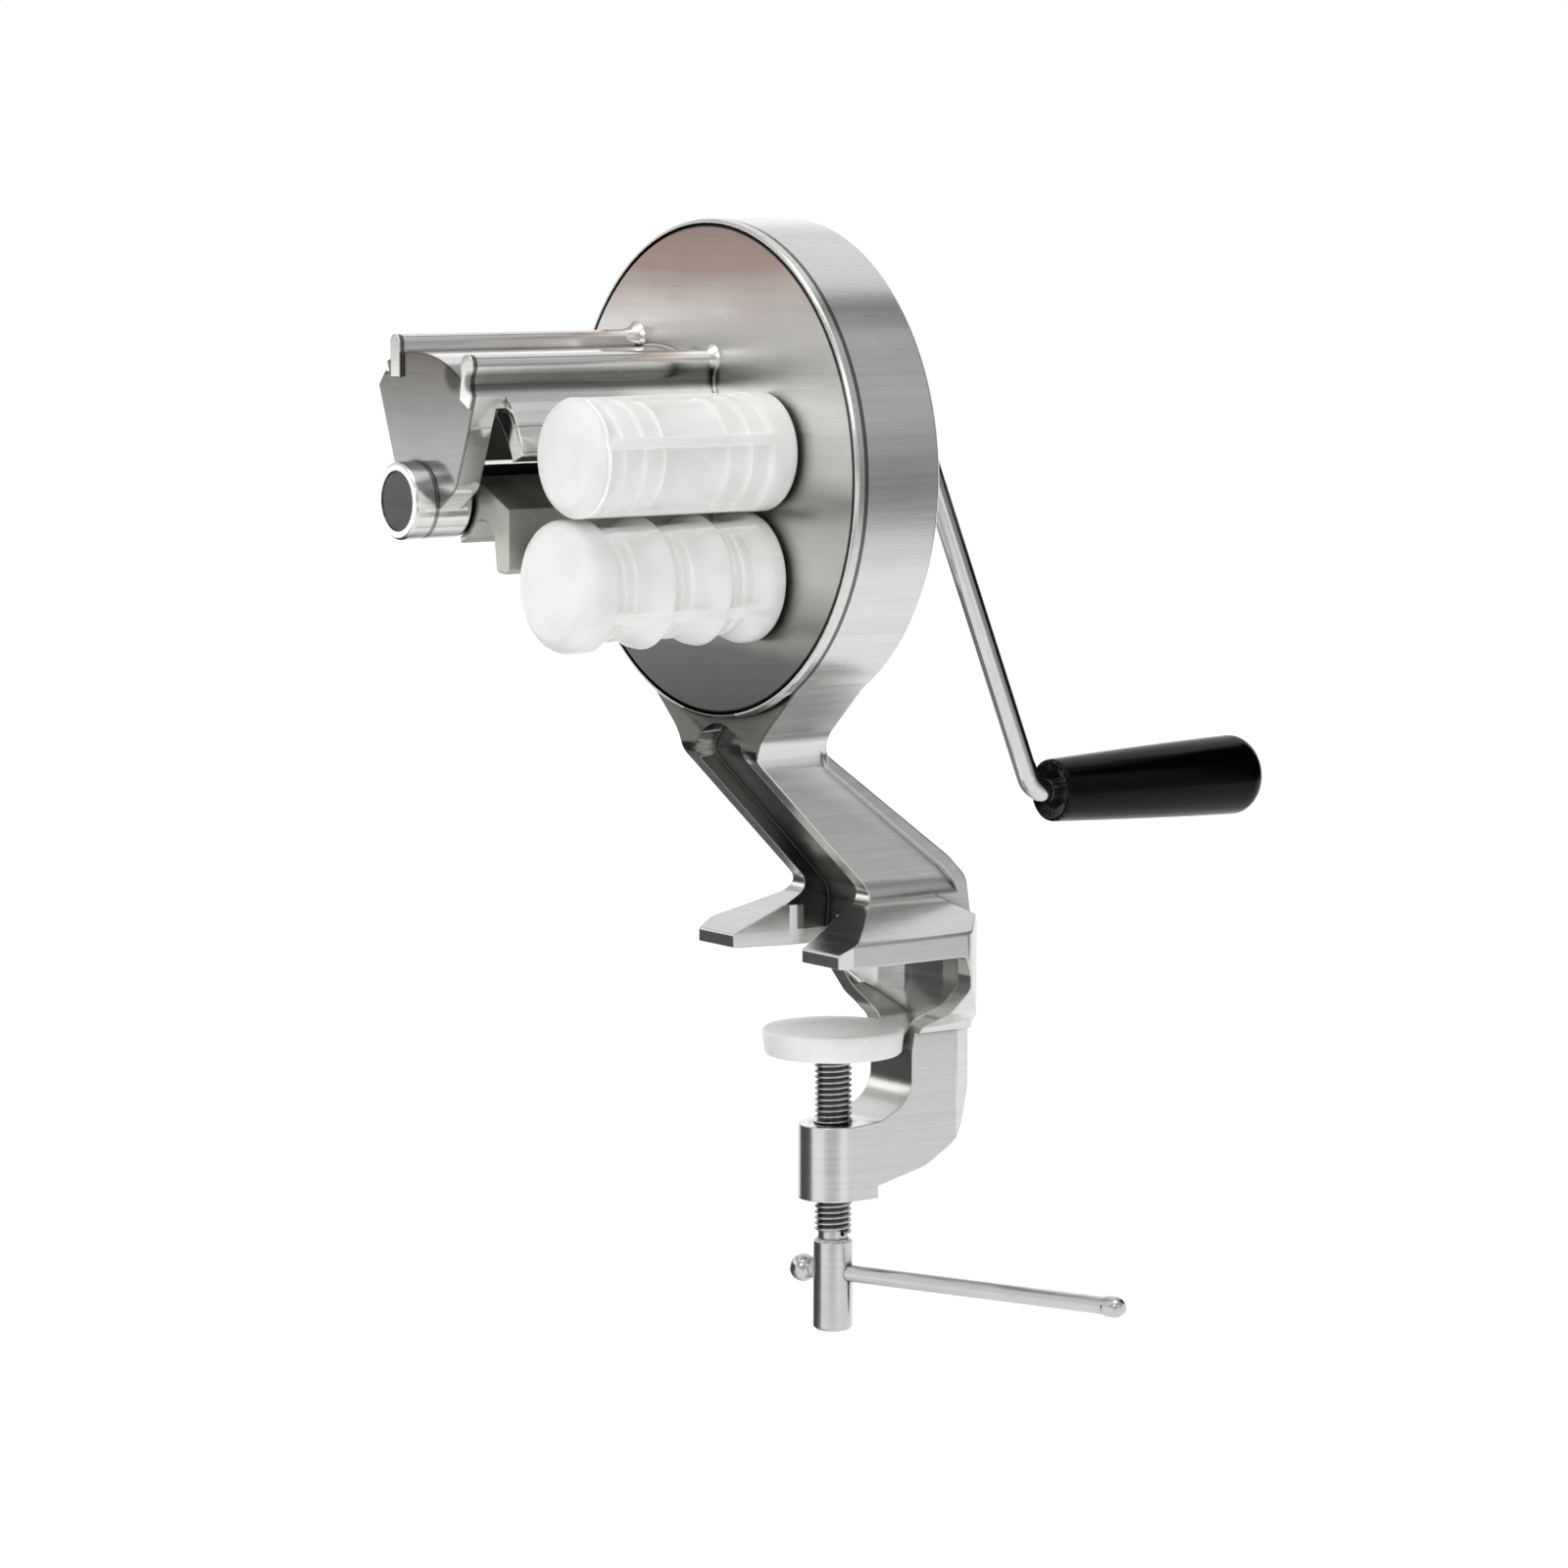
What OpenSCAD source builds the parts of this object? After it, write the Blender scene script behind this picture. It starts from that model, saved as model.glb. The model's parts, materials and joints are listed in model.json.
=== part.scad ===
// Table clamped pasta roller: a round gear case with a hooded cutter and two forming rollers on its
// front, a bent rod crank behind it, and a Z shaped arm that ends in a screw clamp.
// x is across the case, y runs along the roller axes from the hood to the crank, z is up.
// The origin is on the flat underside of the upper jaw, where the worktop touches it.

/* [Case] */
// height of the case centre above the jaw's underside
case_z = 126.5; // [100:0.5:160]
// y position of the case's front face
case_front_y = -50; // [-80:0.5:-20]
// outer radius of the case
case_r = 63.5; // [55:0.5:75]
// depth of the case from front face to back face
case_depth = 26.2; // [20:0.1:40]
// thickness of the back plate
back_t = 4.6; // [3:0.1:8]
// thickness of the front cover disc
cover_t = 5; // [3:0.1:8]
// width of the case's rim round the front cover disc
rim_w = 1.3; // [0.8:0.1:4]
// wall of the case round the gear room
room_wall = 3.5; // [2:0.1:8]
// gap between the drive gear's tips and the gear room's wall
gear_wall_gap = 1.17; // [0.5:0.01:5]
// radius of the posts that stand in the gear room
post_r = 4.5; // [3:0.1:8]
// distance from the gear room's wall to the middle of the posts
post_in = 7.5; // [4:0.1:12]
// gap all round the cover disc where it sits in the case
seam_gap = 0.3; // [0.05:0.05:0.5]
// bevel on the front edges of the case and of the cover
edge_cut = 0.6; // [0.2:0.1:2]
// bevel on the back edge of the case
back_cut = 1.2; // [0.5:0.1:3]

/* [Roller and cutter axes] */
// height of the upper axis above the case centre
upper_up = 6; // [0:0.5:15]
// how far the lower axis stands to the left of the upper one
lower_left = 6.5; // [0:0.5:12]
// how far the cutter axis is below the upper one
cutter_drop = 12.3; // [0:0.1:20]
// distance from the upper axis to the cutter axis
cutter_dist = 52.5; // [48:0.5:60]

/* [Gears] */
// gear module
gear_m = 1.25; // [1:0.25:2]
// teeth of each of the two equal gears that join the rollers
pair_teeth = 26; // [20:1:30]
// teeth of the drive gear on the crank shaft
drive_teeth = 48; // [36:1:50]
// teeth of the idler
idler_teeth = 20; // [16:1:24]
// teeth of the cutter pinion
pinion_teeth = 16; // [14:1:20]
// thickness of every gear
gear_t = 5.4; // [4:0.1:7]
// width taken off each tooth flank for running play
tooth_play = 0.09; // [0.05:0.01:0.3]
// end play between a gear and what is next to it
end_play = 0.3; // [0.1:0.05:1]
// width of the drive gear's rim and of its hub
gear_rim = 4.25; // [2:0.05:6]
// depth of the web between them, on each side
web_depth = 1.35; // [0.5:0.05:2]

/* [Shafts and bushes] */
// radius of the crank shaft and of the lower roller shaft
shaft_r = 4; // [3:0.1:6]
// radius of the cutter axle
axle_r = 3.5; // [2.5:0.1:5]
// wall of each bush
bush_wall = 2; // [1:0.1:3]
// radius of the bush flange beyond the bush
bush_flange = 1.6; // [0.5:0.1:3]
// thickness of the bush flange
bush_flange_t = 0.8; // [0.4:0.1:2]
// radial clearance of every turning or sliding fit
run_gap = 0.05; // [0.02:0.01:0.1]
// radius of the inner bosses on the front cover
inner_boss_r = 8; // [6:0.1:12]
// height of the inner bosses on the front cover
inner_boss_h = 3.4; // [1:0.1:6]
// wall that is left behind the blind bores in the back plate
blind_wall = 1.6; // [0.8:0.1:3]
// depth of the idler stud's seat in the cover
stud_seat = 2; // [1:0.1:4]

/* [Rollers] */
// radius of the upper roller
upper_r = 14.9; // [12:0.1:18]
// radius of the lower roller
lower_r = 16.5; // [12:0.1:18]
// length of both rollers
roller_len = 60; // [40:0.5:80]
// gap between the rollers and the case's front face
roller_off = 1.3; // [1:0.1:5]
// radius of the rounding at the roller ends
roller_round = 4.2; // [1:0.1:8]
// depth of the grooves in the upper roller
groove_depth = 1.5; // [0.5:0.1:4]
// depth of the valleys in the lower roller
valley_depth = 3; // [0.5:0.1:5]
// width of the bars that run along the rollers
roller_bar_w = 4.6; // [2:0.1:8]
// how far the upper roller's outer end bulges
upper_dome = 0.9; // [0.2:0.1:3]
// how far the lower roller's outer end bulges
lower_dome = 1.2; // [0.2:0.1:3]
// radius of the rounding at the rollers' inner ends
roller_in_round = 2; // [0.5:0.1:4]
// half width of the notches between the lobes of the lower roller
notch_w = 3.6; // [2:0.1:5]
// run-in at both ends of a groove
groove_slope = 0.3; // [0.1:0.1:1]
// how far the shafts end inside the rollers
shaft_short = 4; // [2:0.5:10]

/* [Hood and cutter] */
// y distance from the case's front face to the hood's end
hood_len = 72; // [50:0.5:90]
// thickness of the hood's end wall
end_wall_t = 7; // [4:0.5:12]
// outer radius of the hood's roof
roof_r = 37; // [30:0.5:45]
// outer radius of the hood's right skirt
skirt_r = 35.3; // [30:0.1:45]
// inner radius of the hood
hood_in_r = 30.6; // [20:0.1:40]
// how much shorter the skirt is than the hood
skirt_short = 10; // [8:0.5:20]
// radius of the end bearing boss
boss_front_r = 9.8; // [8:0.1:14]
// how far the boss stands out from the end wall
boss_out = 6; // [2:0.5:12]
// radius of the cutter rotor
rotor_r = 9.2; // [7:0.1:12]
// radius of the rotor's core
rotor_core_r = 5.6; // [4:0.1:8]
// radius of the axle's outer journal, seen in the end boss
journal_r = 7.5; // [5:0.1:9]
// gap between the guide block and the rotor
guide_gap = 0.5; // [0.2:0.1:2]
// radius of the left rail's rounded top
left_rail_r = 2; // [1:0.1:4]
// distance of the left rail from the cutter axis in x
left_rail_out = 8.5; // [4:0.5:14]
// height of the left rail's bead above the roof
left_rail_up = 2.2; // [1:0.1:6]
// radius of the right rail's rounded top
right_rail_r = 2.6; // [1:0.1:4]
// distance of the right rail from the cutter axis in x
right_rail_out = 25.2; // [20:0.1:30]
// height of the right rail's bead above the cutter axis
right_rail_up = 34.4; // [30:0.1:38]
// how far the rails stand out past the end wall
rail_past = 1; // [0:0.5:3]
// thickness of the hood's slanting left wall
left_wall_t = 2.6; // [1.5:0.1:5]
// width of the guide block
guide_w = 25.2; // [22:0.1:27]
// gap between the guide block's end and the skirt's end
guide_short = 1; // [0.5:0.5:4]

/* [Arm and jaw] */
// half width of the neck and the sloping arm
arm_half = 16; // [10:0.5:24]
// half width of the rear flange of the arm
lip_half = 17.8; // [10:0.1:26]
// half width of the channel in the arm's front
channel_half = 11.3; // [6:0.1:16]
// half width of the jaw
jaw_half = 32.3; // [24:0.1:40]
// half width of the spine and of the lower arm
spine_half = 9.2; // [6:0.1:14]
// half width of the slot at the prong tips
slot_half = 15.3; // [8:0.1:20]
// half width across both prong tips
prong_half = 31; // [20:0.5:38]
// y of the prong tips
prong_y = -31.6; // [-40:0.1:-20]
// how far the neck's front face is set back from the case's front face
neck_in = 3; // [1:0.1:6]
// how far the neck's back face is set in from the case's back face
neck_back_in = 1.7; // [0.5:0.1:6]
// height where the neck turns into the sloping arm
arm_top_z = 53.5; // [48:0.5:58]
// half width of the neck where it meets the case
flare_half = 34; // [20:0.5:40]
// y of the spine's back face
spine_back_y = 29; // [26:0.1:34]
// height of the jaw's upper side edges
jaw_edge_z = 6.2; // [4:0.1:9]
// height where the sloping sides of the jaw meet the arm
jaw_top_z = 15; // [12:0.5:20]
// depth of the pad-side flanges of the jaw
flange_depth = 8.6; // [6:0.1:12]
// y where the hollow under the jaw starts
hollow_front_y = 7.6; // [4:0.1:10]

/* [Clamp screw] */
// y of the clamp screw's axis
screw_y = -10.5; // [-20:0.1:10]
// outer radius of the screw thread
screw_r = 5; // [3:0.1:8]
// radius of the clamp's lower boss
boss_r = 9.2; // [7:0.1:14]
// z of the lower boss's top
boss_top_z = -46.2; // [-60:0.1:-30]
// height of the lower boss
boss_h = 19.8; // [12:0.1:30]
// radius of the pressure pad
pad_r = 18.7; // [12:0.1:25]
// thickness of the pressure pad
pad_t = 6.7; // [4:0.1:10]
// z of the pad's top face
pad_top_z = -20.9; // [-40:0.1:-12]
// radius of the dish in the pad's top
dish_r = 14.6; // [8:0.1:18]
// depth of the dish
dish_depth = 1.3; // [0.5:0.1:3]
// radius of the pin that holds the pad on the screw
pin_r = 3; // [2:0.1:4]
// z of the underside of the screw thread, where the head starts
head_top_z = -76.9; // [-90:0.1:-60]
// height of the small foot under the lower arm
foot_h = 4; // [2:0.5:8]
// depth of the pin's seat in the pad
pin_seat = 3.6; // [2:0.1:5]
// bevel at the screw's upper end and at the head's ends
screw_cut = 0.8; // [0.3:0.1:1.5]
// radius of the screw head
head_r = 5.2; // [4:0.1:8]
// length of the screw head
head_len = 24.5; // [15:0.1:35]
// z of the tommy bar's axis
bar_z = -86; // [-95:0.1:-80]
// radius of the tommy bar
bar_r = 2.3; // [1.5:0.1:4]
// radius of the ball on the tommy bar
ball_r = 3.7; // [2.5:0.1:6]
// angle of the tommy bar in plan
bar_turn = 23; // [0:1:90]
// distance from the screw's axis to the ball's centre
ball_dist = 9; // [7:0.1:15]
// distance from the screw's axis to the bar's far end
bar_reach = 86.5; // [50:0.5:120]
// length of the swollen end of the bar
bar_end_len = 6; // [3:0.5:10]
// how much thicker the swollen end is, in radius
bar_swell = 0.45; // [0.2:0.05:1]

/* [Crank] */
// radius of the crank rod
rod_r = 3; // [2:0.1:5]
// y where the rod turns down from the shaft's line
rod_top_y = -2.3; // [-12:0.1:10]
// y where the rod turns into the grip
rod_low_y = 34.3; // [20:0.1:50]
// drop from the crank axis to the grip axis
rod_drop = 91.8; // [60:0.1:120]
// radius of the upper bend
bend_top_r = 9; // [5:0.1:15]
// radius of the lower bend
bend_low_r = 7; // [5:0.1:15]
// radius of the hub that joins the rod and the shaft
hub_r = 8; // [6:0.1:12]
// length of the hub
hub_len = 13; // [8:0.1:20]
// bevel at the hub's outer end
hub_cut = 1.5; // [0.5:0.1:3]
// y of the grip's inner end
grip_y = 40; // [30:0.5:60]
// length of the grip
grip_len = 69; // [50:0.5:90]
// radius of the grip's inner end
grip_in_r = 8.3; // [6:0.1:12]
// largest radius of the grip
grip_out_r = 10.7; // [8:0.1:14]
// length of the grip's rounded outer end
grip_round = 7.2; // [4:0.1:10]
// depth of the countersink in the grip's inner end
grip_sink = 1.2; // [0.5:0.1:3]
// width of the rim round that countersink
grip_lip = 3.4; // [2:0.1:5]
// wall at the closed end of the grip's bore
grip_wall = 4.8; // [3:0.1:10]

/* [Hidden] */
$fn = 96;
// a small overrun that keeps cuts clean
over = 0.5;
// points on each rounded corner of an outline
corner_steps = 9;
// y positions of the case's inner and outer faces
case_back_y = case_front_y + case_depth;
cover_r = case_r - rim_w;
room_r = case_r - room_wall;
post_ring_r = room_r - post_in;
room_front_y = case_front_y + cover_t;
room_back_y = case_back_y - back_t;
// y positions of the two gear layers
pair_y = room_front_y + inner_boss_h + end_play;
train_y = room_back_y - end_play - gear_t;
// axis positions in x and z
tip_share = 0.94;
drive_tip_r = gear_m * (drive_teeth / 2 + tip_share);
upper_out = room_r - gear_wall_gap - drive_tip_r;
upper_x = sqrt(upper_out * upper_out - upper_up * upper_up);
upper_z = case_z + upper_up;
pair_dist = gear_m * pair_teeth;
lower_x = upper_x - lower_left;
lower_z = upper_z - sqrt(pair_dist * pair_dist - lower_left * lower_left);
cutter_x = upper_x - sqrt(cutter_dist * cutter_dist - cutter_drop * cutter_drop);
cutter_z = upper_z - cutter_drop;
upper_axis = [upper_x, upper_z];
lower_axis = [lower_x, lower_z];
cutter_axis = [cutter_x, cutter_z];
// the idler meshes with the drive gear and the pinion
drive_idler = gear_m * (drive_teeth + idler_teeth) / 2;
idler_pinion = gear_m * (idler_teeth + pinion_teeth) / 2;
idler_along = (drive_idler * drive_idler - idler_pinion * idler_pinion + cutter_dist * cutter_dist)
    / (2 * cutter_dist);
idler_side = sqrt(drive_idler * drive_idler - idler_along * idler_along);
train_dir = (cutter_axis - upper_axis) / cutter_dist;
idler_axis = upper_axis + idler_along * train_dir + idler_side * [train_dir[1], -train_dir[0]];
// tooth positions that put every pair in mesh
drive_to_idler = angle_of(idler_axis - upper_axis);
idler_to_pinion = angle_of(cutter_axis - idler_axis);
upper_to_lower = angle_of(lower_axis - upper_axis);
idler_turn = drive_to_idler + 180 + 180 / idler_teeth;
pinion_turn = idler_to_pinion + 180 + 180 / pinion_teeth
    - (idler_turn - idler_to_pinion) * idler_teeth / pinion_teeth;
lower_turn = upper_to_lower + 180 + 180 / pair_teeth;
// y positions of the hood's faces
hood_end_y = case_front_y - hood_len;
skirt_end_y = hood_end_y + skirt_short;
roller_in_y = case_front_y - roller_off;
roller_out_y = roller_in_y - roller_len;
rotor_out_y = skirt_end_y + 2 * end_play;
axle_step_y = skirt_end_y;
// splay of the crank arm from the vertical
rod_splay = atan((rod_low_y - rod_top_y) / rod_drop);
rod_z = upper_z - rod_drop;
grip_bore_y = grip_y + grip_len - grip_wall;
idler_stud_r = axle_r;
blind_y = case_back_y - blind_wall;
guide_out_y = skirt_end_y + guide_short;
shaft_out_y = roller_out_y + shaft_short;
// y and z positions of the neck
neck_front_y = case_front_y + neck_in;
neck_back_y = case_back_y - neck_back_in;
flare_z = case_z - sqrt(case_r * case_r - flare_half * flare_half);
neck_top_z = flare_z + neck_in;
boss_low_z = boss_top_z - boss_h;
// how much thinner the rod's bends are than its straight pieces, so that the pieces join cleanly
bend_in = 0.02;
// how far the bends reach into the straight pieces, in degrees
bend_lap = 1;
// proportions of the gear teeth, as shares of the module, and their pressure angle
root_share = 1.22;
flank_share = 0.1;
pressure_angle = 20;
// width of a tooth's root fillet, as a share of the tooth's
root_fillet_share = 0.9;
// holes in the drive gear's web, as a share of its pitch radius
web_hole_share = 0.14;
// post angles round the case
post_angles = [100, 200, 280];

function angle_of(v) = atan2(v[1], v[0]);

// scales a table of [u, v, corner radius] shares by the size along u and the size along v
function placed(table, size_u, size_v) =
    [for (s = table) [s[0] * size_u, s[1] * size_v, s[2] * abs(size_v)]];

// the points that round one corner b between a and c with radius r
function corner(a, b, c, r) =
    r <= 0 ? [[b[0], b[1]]] :
    let (
        u = [a[0] - b[0], a[1] - b[1]] / norm([a[0] - b[0], a[1] - b[1]]),
        v = [c[0] - b[0], c[1] - b[1]] / norm([c[0] - b[0], c[1] - b[1]]),
        half = acos(max(-1, min(1, u * v))) / 2,
        w = (u + v) / norm(u + v),
        centre = [b[0], b[1]] + w * r / sin(half),
        p = [b[0], b[1]] + u * r / tan(half),
        q = [b[0], b[1]] + v * r / tan(half),
        a0 = angle_of(p - centre),
        sweep = angle_of(q - centre) - a0,
        turn = sweep > 180 ? sweep - 360 : sweep < -180 ? sweep + 360 : sweep
    )
    [for (i = [0:corner_steps - 1])
        centre + r * [cos(a0 + turn * i / (corner_steps - 1)), sin(a0 + turn * i / (corner_steps - 1))]];

// an outline whose points are [u, v, corner radius]
function rounded(p) =
    [for (i = [0:len(p) - 1])
        each corner(p[(i + len(p) - 1) % len(p)], p[i], p[(i + 1) % len(p)], p[i][2])];

// a symmetric outline from its right half
function both_sides(p) =
    concat(p, [for (i = [len(p) - 1:-1:0]) [-p[i][0], p[i][1], p[i][2]]]);

function arc_points(centre, r, a0, a1, n) =
    [for (i = [0:n]) centre + r * [cos(a0 + (a1 - a0) * i / n), sin(a0 + (a1 - a0) * i / n)]];

// places a y-z outline and gives it a width in x
module across(half) {
    translate([-half, 0, 0])
        rotate([90, 0, 90])
            linear_extrude(2 * half)
                children();
}

// places an x-z outline and gives it a length in y
module along(y0, y1) {
    translate([0, y1, 0])
        rotate([90, 0, 0])
            linear_extrude(y1 - y0)
                children();
}

// a cylinder along y on an axis given in x and z
module y_rod(axis, y0, y1, r) {
    translate([axis[0], y1, axis[1]])
        rotate([90, 0, 0])
            cylinder(h = y1 - y0, r = r);
}

// a turned shape along y from an outline of [radius, y]
module y_turned(axis) {
    translate([axis[0], 0, axis[1]])
        rotate([-90, 0, 0])
            rotate_extrude()
                children();
}

// the flank points of one tooth, from root to tip
function involute_at(base_r, r) =
    let (a = acos(min(1, base_r / r))) tan(a) * 180 / PI - a;

function tooth_half(teeth, r) =
    let (
        pitch_r = gear_m * teeth / 2,
        base_r = pitch_r * cos(pressure_angle)
    )
    90 / teeth - tooth_play / pitch_r * 180 / PI + involute_at(base_r, pitch_r)
        - involute_at(base_r, max(r, base_r));

function gear_outline(teeth) =
    let (
        pitch_r = gear_m * teeth / 2,
        tip_r = pitch_r + tip_share * gear_m,
        root_r = pitch_r - root_share * gear_m,
        low_r = max(pitch_r * cos(pressure_angle), root_r + flank_share * gear_m),
        root_half = root_fillet_share * tooth_half(teeth, low_r),
        flank = [for (i = [0:4]) low_r + (tip_r - low_r) * i / 4]
    )
    [for (k = [0:teeth - 1])
        let (a = 360 * k / teeth)
        each concat(
            [root_r * [cos(a - root_half), sin(a - root_half)]],
            [for (r = flank) r * [cos(a - tooth_half(teeth, r)), sin(a - tooth_half(teeth, r))]],
            [for (i = [4:-1:0])
                flank[i] * [cos(a + tooth_half(teeth, flank[i])), sin(a + tooth_half(teeth, flank[i]))]],
            [root_r * [cos(a + root_half), sin(a + root_half)]]
        )];

// a gear that lies across its axis, with a bore and a thinner web between rim and hub
module gear(axis, y0, teeth, turn, bore, web) {
    pitch_r = gear_m * teeth / 2;
    translate([axis[0], y0 + gear_t, axis[1]])
        rotate([90, 0, 0])
            difference() {
                linear_extrude(gear_t)
                    rotate(turn)
                        polygon(gear_outline(teeth));
                translate([0, 0, -over])
                    cylinder(h = gear_t + 2 * over, r = bore);
                if (web) {
                    for (z = [-over, gear_t - web_depth])
                        translate([0, 0, z])
                            difference() {
                                cylinder(h = web_depth + over, r = pitch_r - gear_rim);
                                translate([0, 0, -over])
                                    cylinder(h = gear_t + 2 * over, r = bore + gear_rim);
                            }
                    for (k = [0:5])
                        rotate(60 * k)
                            translate([(pitch_r + bore) / 2, 0, -over])
                                cylinder(h = gear_t + 2 * over, r = web_hole_share * pitch_r);
                }
            }
}

// front of the arm and top of the prongs, as shares of the prongs' reach and of the arm's height
prong_shares = [[0.294, 0.288, 0.064], [0.633, 0.176, 0.3], [1, 0.067, 0.013], [1, 0, 0.009]];
// front of the spine down to the boss, as shares of the spine's back y and of the throat's depth
throat_shares = [[0.297, 0, 0.043], [0.36, 0.108, 0.065], [0.36, 0.39, 0.15], [0.297, 0.606, 0.346],
    [0.297, 0.877, 0.195], [-0.052, 0.987, 0.173]];
// underside of the lower arm and back of the spine, by the same two sizes
back_shares = [[-0.069, 1.355, 0.043], [0.45, 1.28, 0.3], [0.86, 1.13, 0.3], [1, 0.85, 0.35],
    [1, 0.303, 0.303], [0.855, 0.065, 0.173]];
// back of the arm, as shares of the spine's back y and of the arm's height
arm_back_shares = [[0.855, 0.075, 0.093], [0.724, 0.168, 0.075], [0.676, 0.348, 0.131],
    [0.469, 0.46, 0.112]];
// corner radii of the neck, as shares of the arm's height
neck_round_share = 0.094;
neck_back_round_share = 0.15;
// outline of neck, arm, jaw, spine and lower arm, seen from the side
side_outline = rounded(concat(
    [[neck_front_y, neck_top_z, 0], [neck_front_y, arm_top_z, neck_round_share * arm_top_z]],
    placed(prong_shares, prong_y, arm_top_z),
    placed(throat_shares, spine_back_y, boss_top_z),
    [[screw_y, boss_top_z, 0], [screw_y, boss_low_z + foot_h, 0]],
    placed(back_shares, spine_back_y, boss_top_z),
    placed(arm_back_shares, spine_back_y, arm_top_z),
    [[neck_back_y, arm_top_z, neck_back_round_share * arm_top_z], [neck_back_y, neck_top_z, 0]]
));

// flank of the funnel under the jaw, as shares of the jaw's half width and of the throat's depth
funnel_shares = [[0.728, 0.351, 0.195], [0.36, 0.463, 0.13]];
// corner radii on the neck's and the jaw's sides, as shares of the jaw's half width
flare_round_share = 0.42;
jaw_root_round_share = 0.25;
jaw_edge_round_share = 0.037;
flange_round_share = 0.155;
// where the funnel ends on the spine, as a share of the throat's depth
funnel_end_share = 0.628;
// outline of the same casting, seen from the front
front_outline = rounded(both_sides(concat(
    [
        [flare_half, neck_top_z, 0],
        [flare_half, flare_z, 0],
        [arm_half, arm_top_z + neck_in, flare_round_share * jaw_half],
        [arm_half, jaw_top_z, jaw_root_round_share * jaw_half],
        [jaw_half, jaw_edge_z, jaw_edge_round_share * jaw_half],
        [jaw_half, -flange_depth, flange_round_share * jaw_half]
    ],
    placed(funnel_shares, jaw_half, boss_top_z),
    [[spine_half, funnel_end_share * boss_top_z, flare_round_share * spine_half], [spine_half, boss_low_z, 0]]
)));

// plan of the jaw and of the funnel under it, as shares of the jaw's half width and of the spine's back y
plan_shares = [[1, -0.948, 0.052], [1, 0.366, 0.138], [0.62, 0.745, 0.276], [0.297, 0.945, 0.138],
    [0.204, 1.034, 0.017]];
plan_outline = rounded(both_sides(concat([[prong_half, prong_y - over, 0]],
    placed(plan_shares, jaw_half, spine_back_y))));

// plan of the spine with its bevelled back edges, by its half width and its back y
spine_shares = [[1, 0.807, 0.034], [0.7, 1.014, 0.021]];
spine_plan = rounded(both_sides(concat([[spine_half, screw_y - boss_r, 0]],
    placed(spine_shares, spine_half, spine_back_y))));

// inner edge of the flange along the arm's back, by the same sizes as the arm's back
lip_in_shares = [[0.6, 0.075, 0], [0.572, 0.31, 0.093], [0.4, 0.407, 0.093]];
// thickness of that flange
lip_t = 3.2;
lip_outline = rounded(concat(
    [[neck_back_y, arm_top_z, 0]],
    [for (i = [len(arm_back_shares) - 1:-1:1])
        placed(arm_back_shares, spine_back_y, arm_top_z)[i]],
    placed(lip_in_shares, spine_back_y, arm_top_z),
    [[neck_back_y, arm_top_z - lip_t, 0]]
));

// floor of the channel in the arm, as shares of the prongs' reach and of the arm's height
channel_shares = [[0.108, 0.269, 0.15], [0.146, 0, 0]];
// depth of the channel at the neck
channel_depth = 6;
// height of the channel's round top above the neck's lower end
channel_up = 8;
// what the channel takes out of the arm, seen from the side
channel_side = rounded(concat(
    [
        [case_front_y - over, arm_top_z + 2 * channel_half, 0],
        [neck_front_y + channel_depth, arm_top_z + 2 * channel_half, 0],
        [neck_front_y + channel_depth, arm_top_z, channel_depth]
    ],
    placed(channel_shares, prong_y, arm_top_z),
    [[channel_shares[1][0] * prong_y, -over, 0], [case_front_y - over, -over, 0]]
));

// the widening slot between the prongs, in plan, as shares of the channel's half width and the prongs' reach
slot_shares = [[1, 0.443, 0.57], [1, 0.146, 0.19]];
// height of that slot's roof
slot_h = 10.5;
slot_plan = rounded(both_sides(concat([[slot_half, prong_y, 0]], placed(slot_shares, channel_half, prong_y))));

// the hollow behind the funnel's flanges, seen from the front, by the jaw's half width and the throat's depth
hollow_front_shares = [[0.855, 0.156, 0.108], [0.62, 0.303, 0.2], [0.223, 0.433, 0.13], [0.105, 0.584, 0.04]];
hollow_outline = rounded(both_sides(concat([[hollow_front_shares[0][0] * jaw_half, over, 0]],
    placed(hollow_front_shares, jaw_half, boss_top_z))));

// the same hollow in plan, which keeps a back wall
hollow_plan_shares = [[0.898, 0.243, 0], [0.861, 0.317, 0.12], [0.557, 0.566, 0.3], [0.248, 0.676, 0.17]];
hollow_plan = rounded(both_sides(placed(hollow_plan_shares, jaw_half, spine_back_y)));

// the jaw's sides also slope down towards its back corners, by the spine's back y and the jaw's top
hip_shares = [[0.2, 1.13, 0], [0.79, 0.38, 0]];
hip_outline = [for (p = concat(placed(hip_shares, spine_back_y, jaw_top_z),
    [[2 * spine_back_y, hip_shares[1][1] * jaw_top_z], [2 * spine_back_y, hip_shares[0][1] * jaw_top_z]]))
    [p[0], p[1]]];

module neck_and_clamp() {
    // neck, arm, jaw and spine are what the side, front and plan outlines have in common
    intersection() {
        across(jaw_half + flare_half)
            polygon(side_outline);
        along(case_front_y, spine_back_y + over)
            polygon(front_outline);
        union() {
            translate([-flare_half, case_front_y, jaw_top_z - neck_in])
                cube([2 * flare_half, spine_back_y - case_front_y, case_z]);
            translate([0, 0, boss_top_z / 2])
                linear_extrude(jaw_top_z - boss_top_z / 2)
                    polygon(plan_outline);
            translate([0, 0, boss_low_z])
                linear_extrude(-boss_low_z)
                    polygon(spine_plan);
        }
    }
    across(lip_half)
        polygon(lip_outline);
    // the boss for the screw, with the small foot behind it
    translate([0, screw_y, boss_low_z])
        cylinder(h = boss_h, r = boss_r);
    translate([-spine_half, screw_y, boss_low_z])
        cube([2 * spine_half, 2 * foot_h, foot_h]);
}

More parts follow.
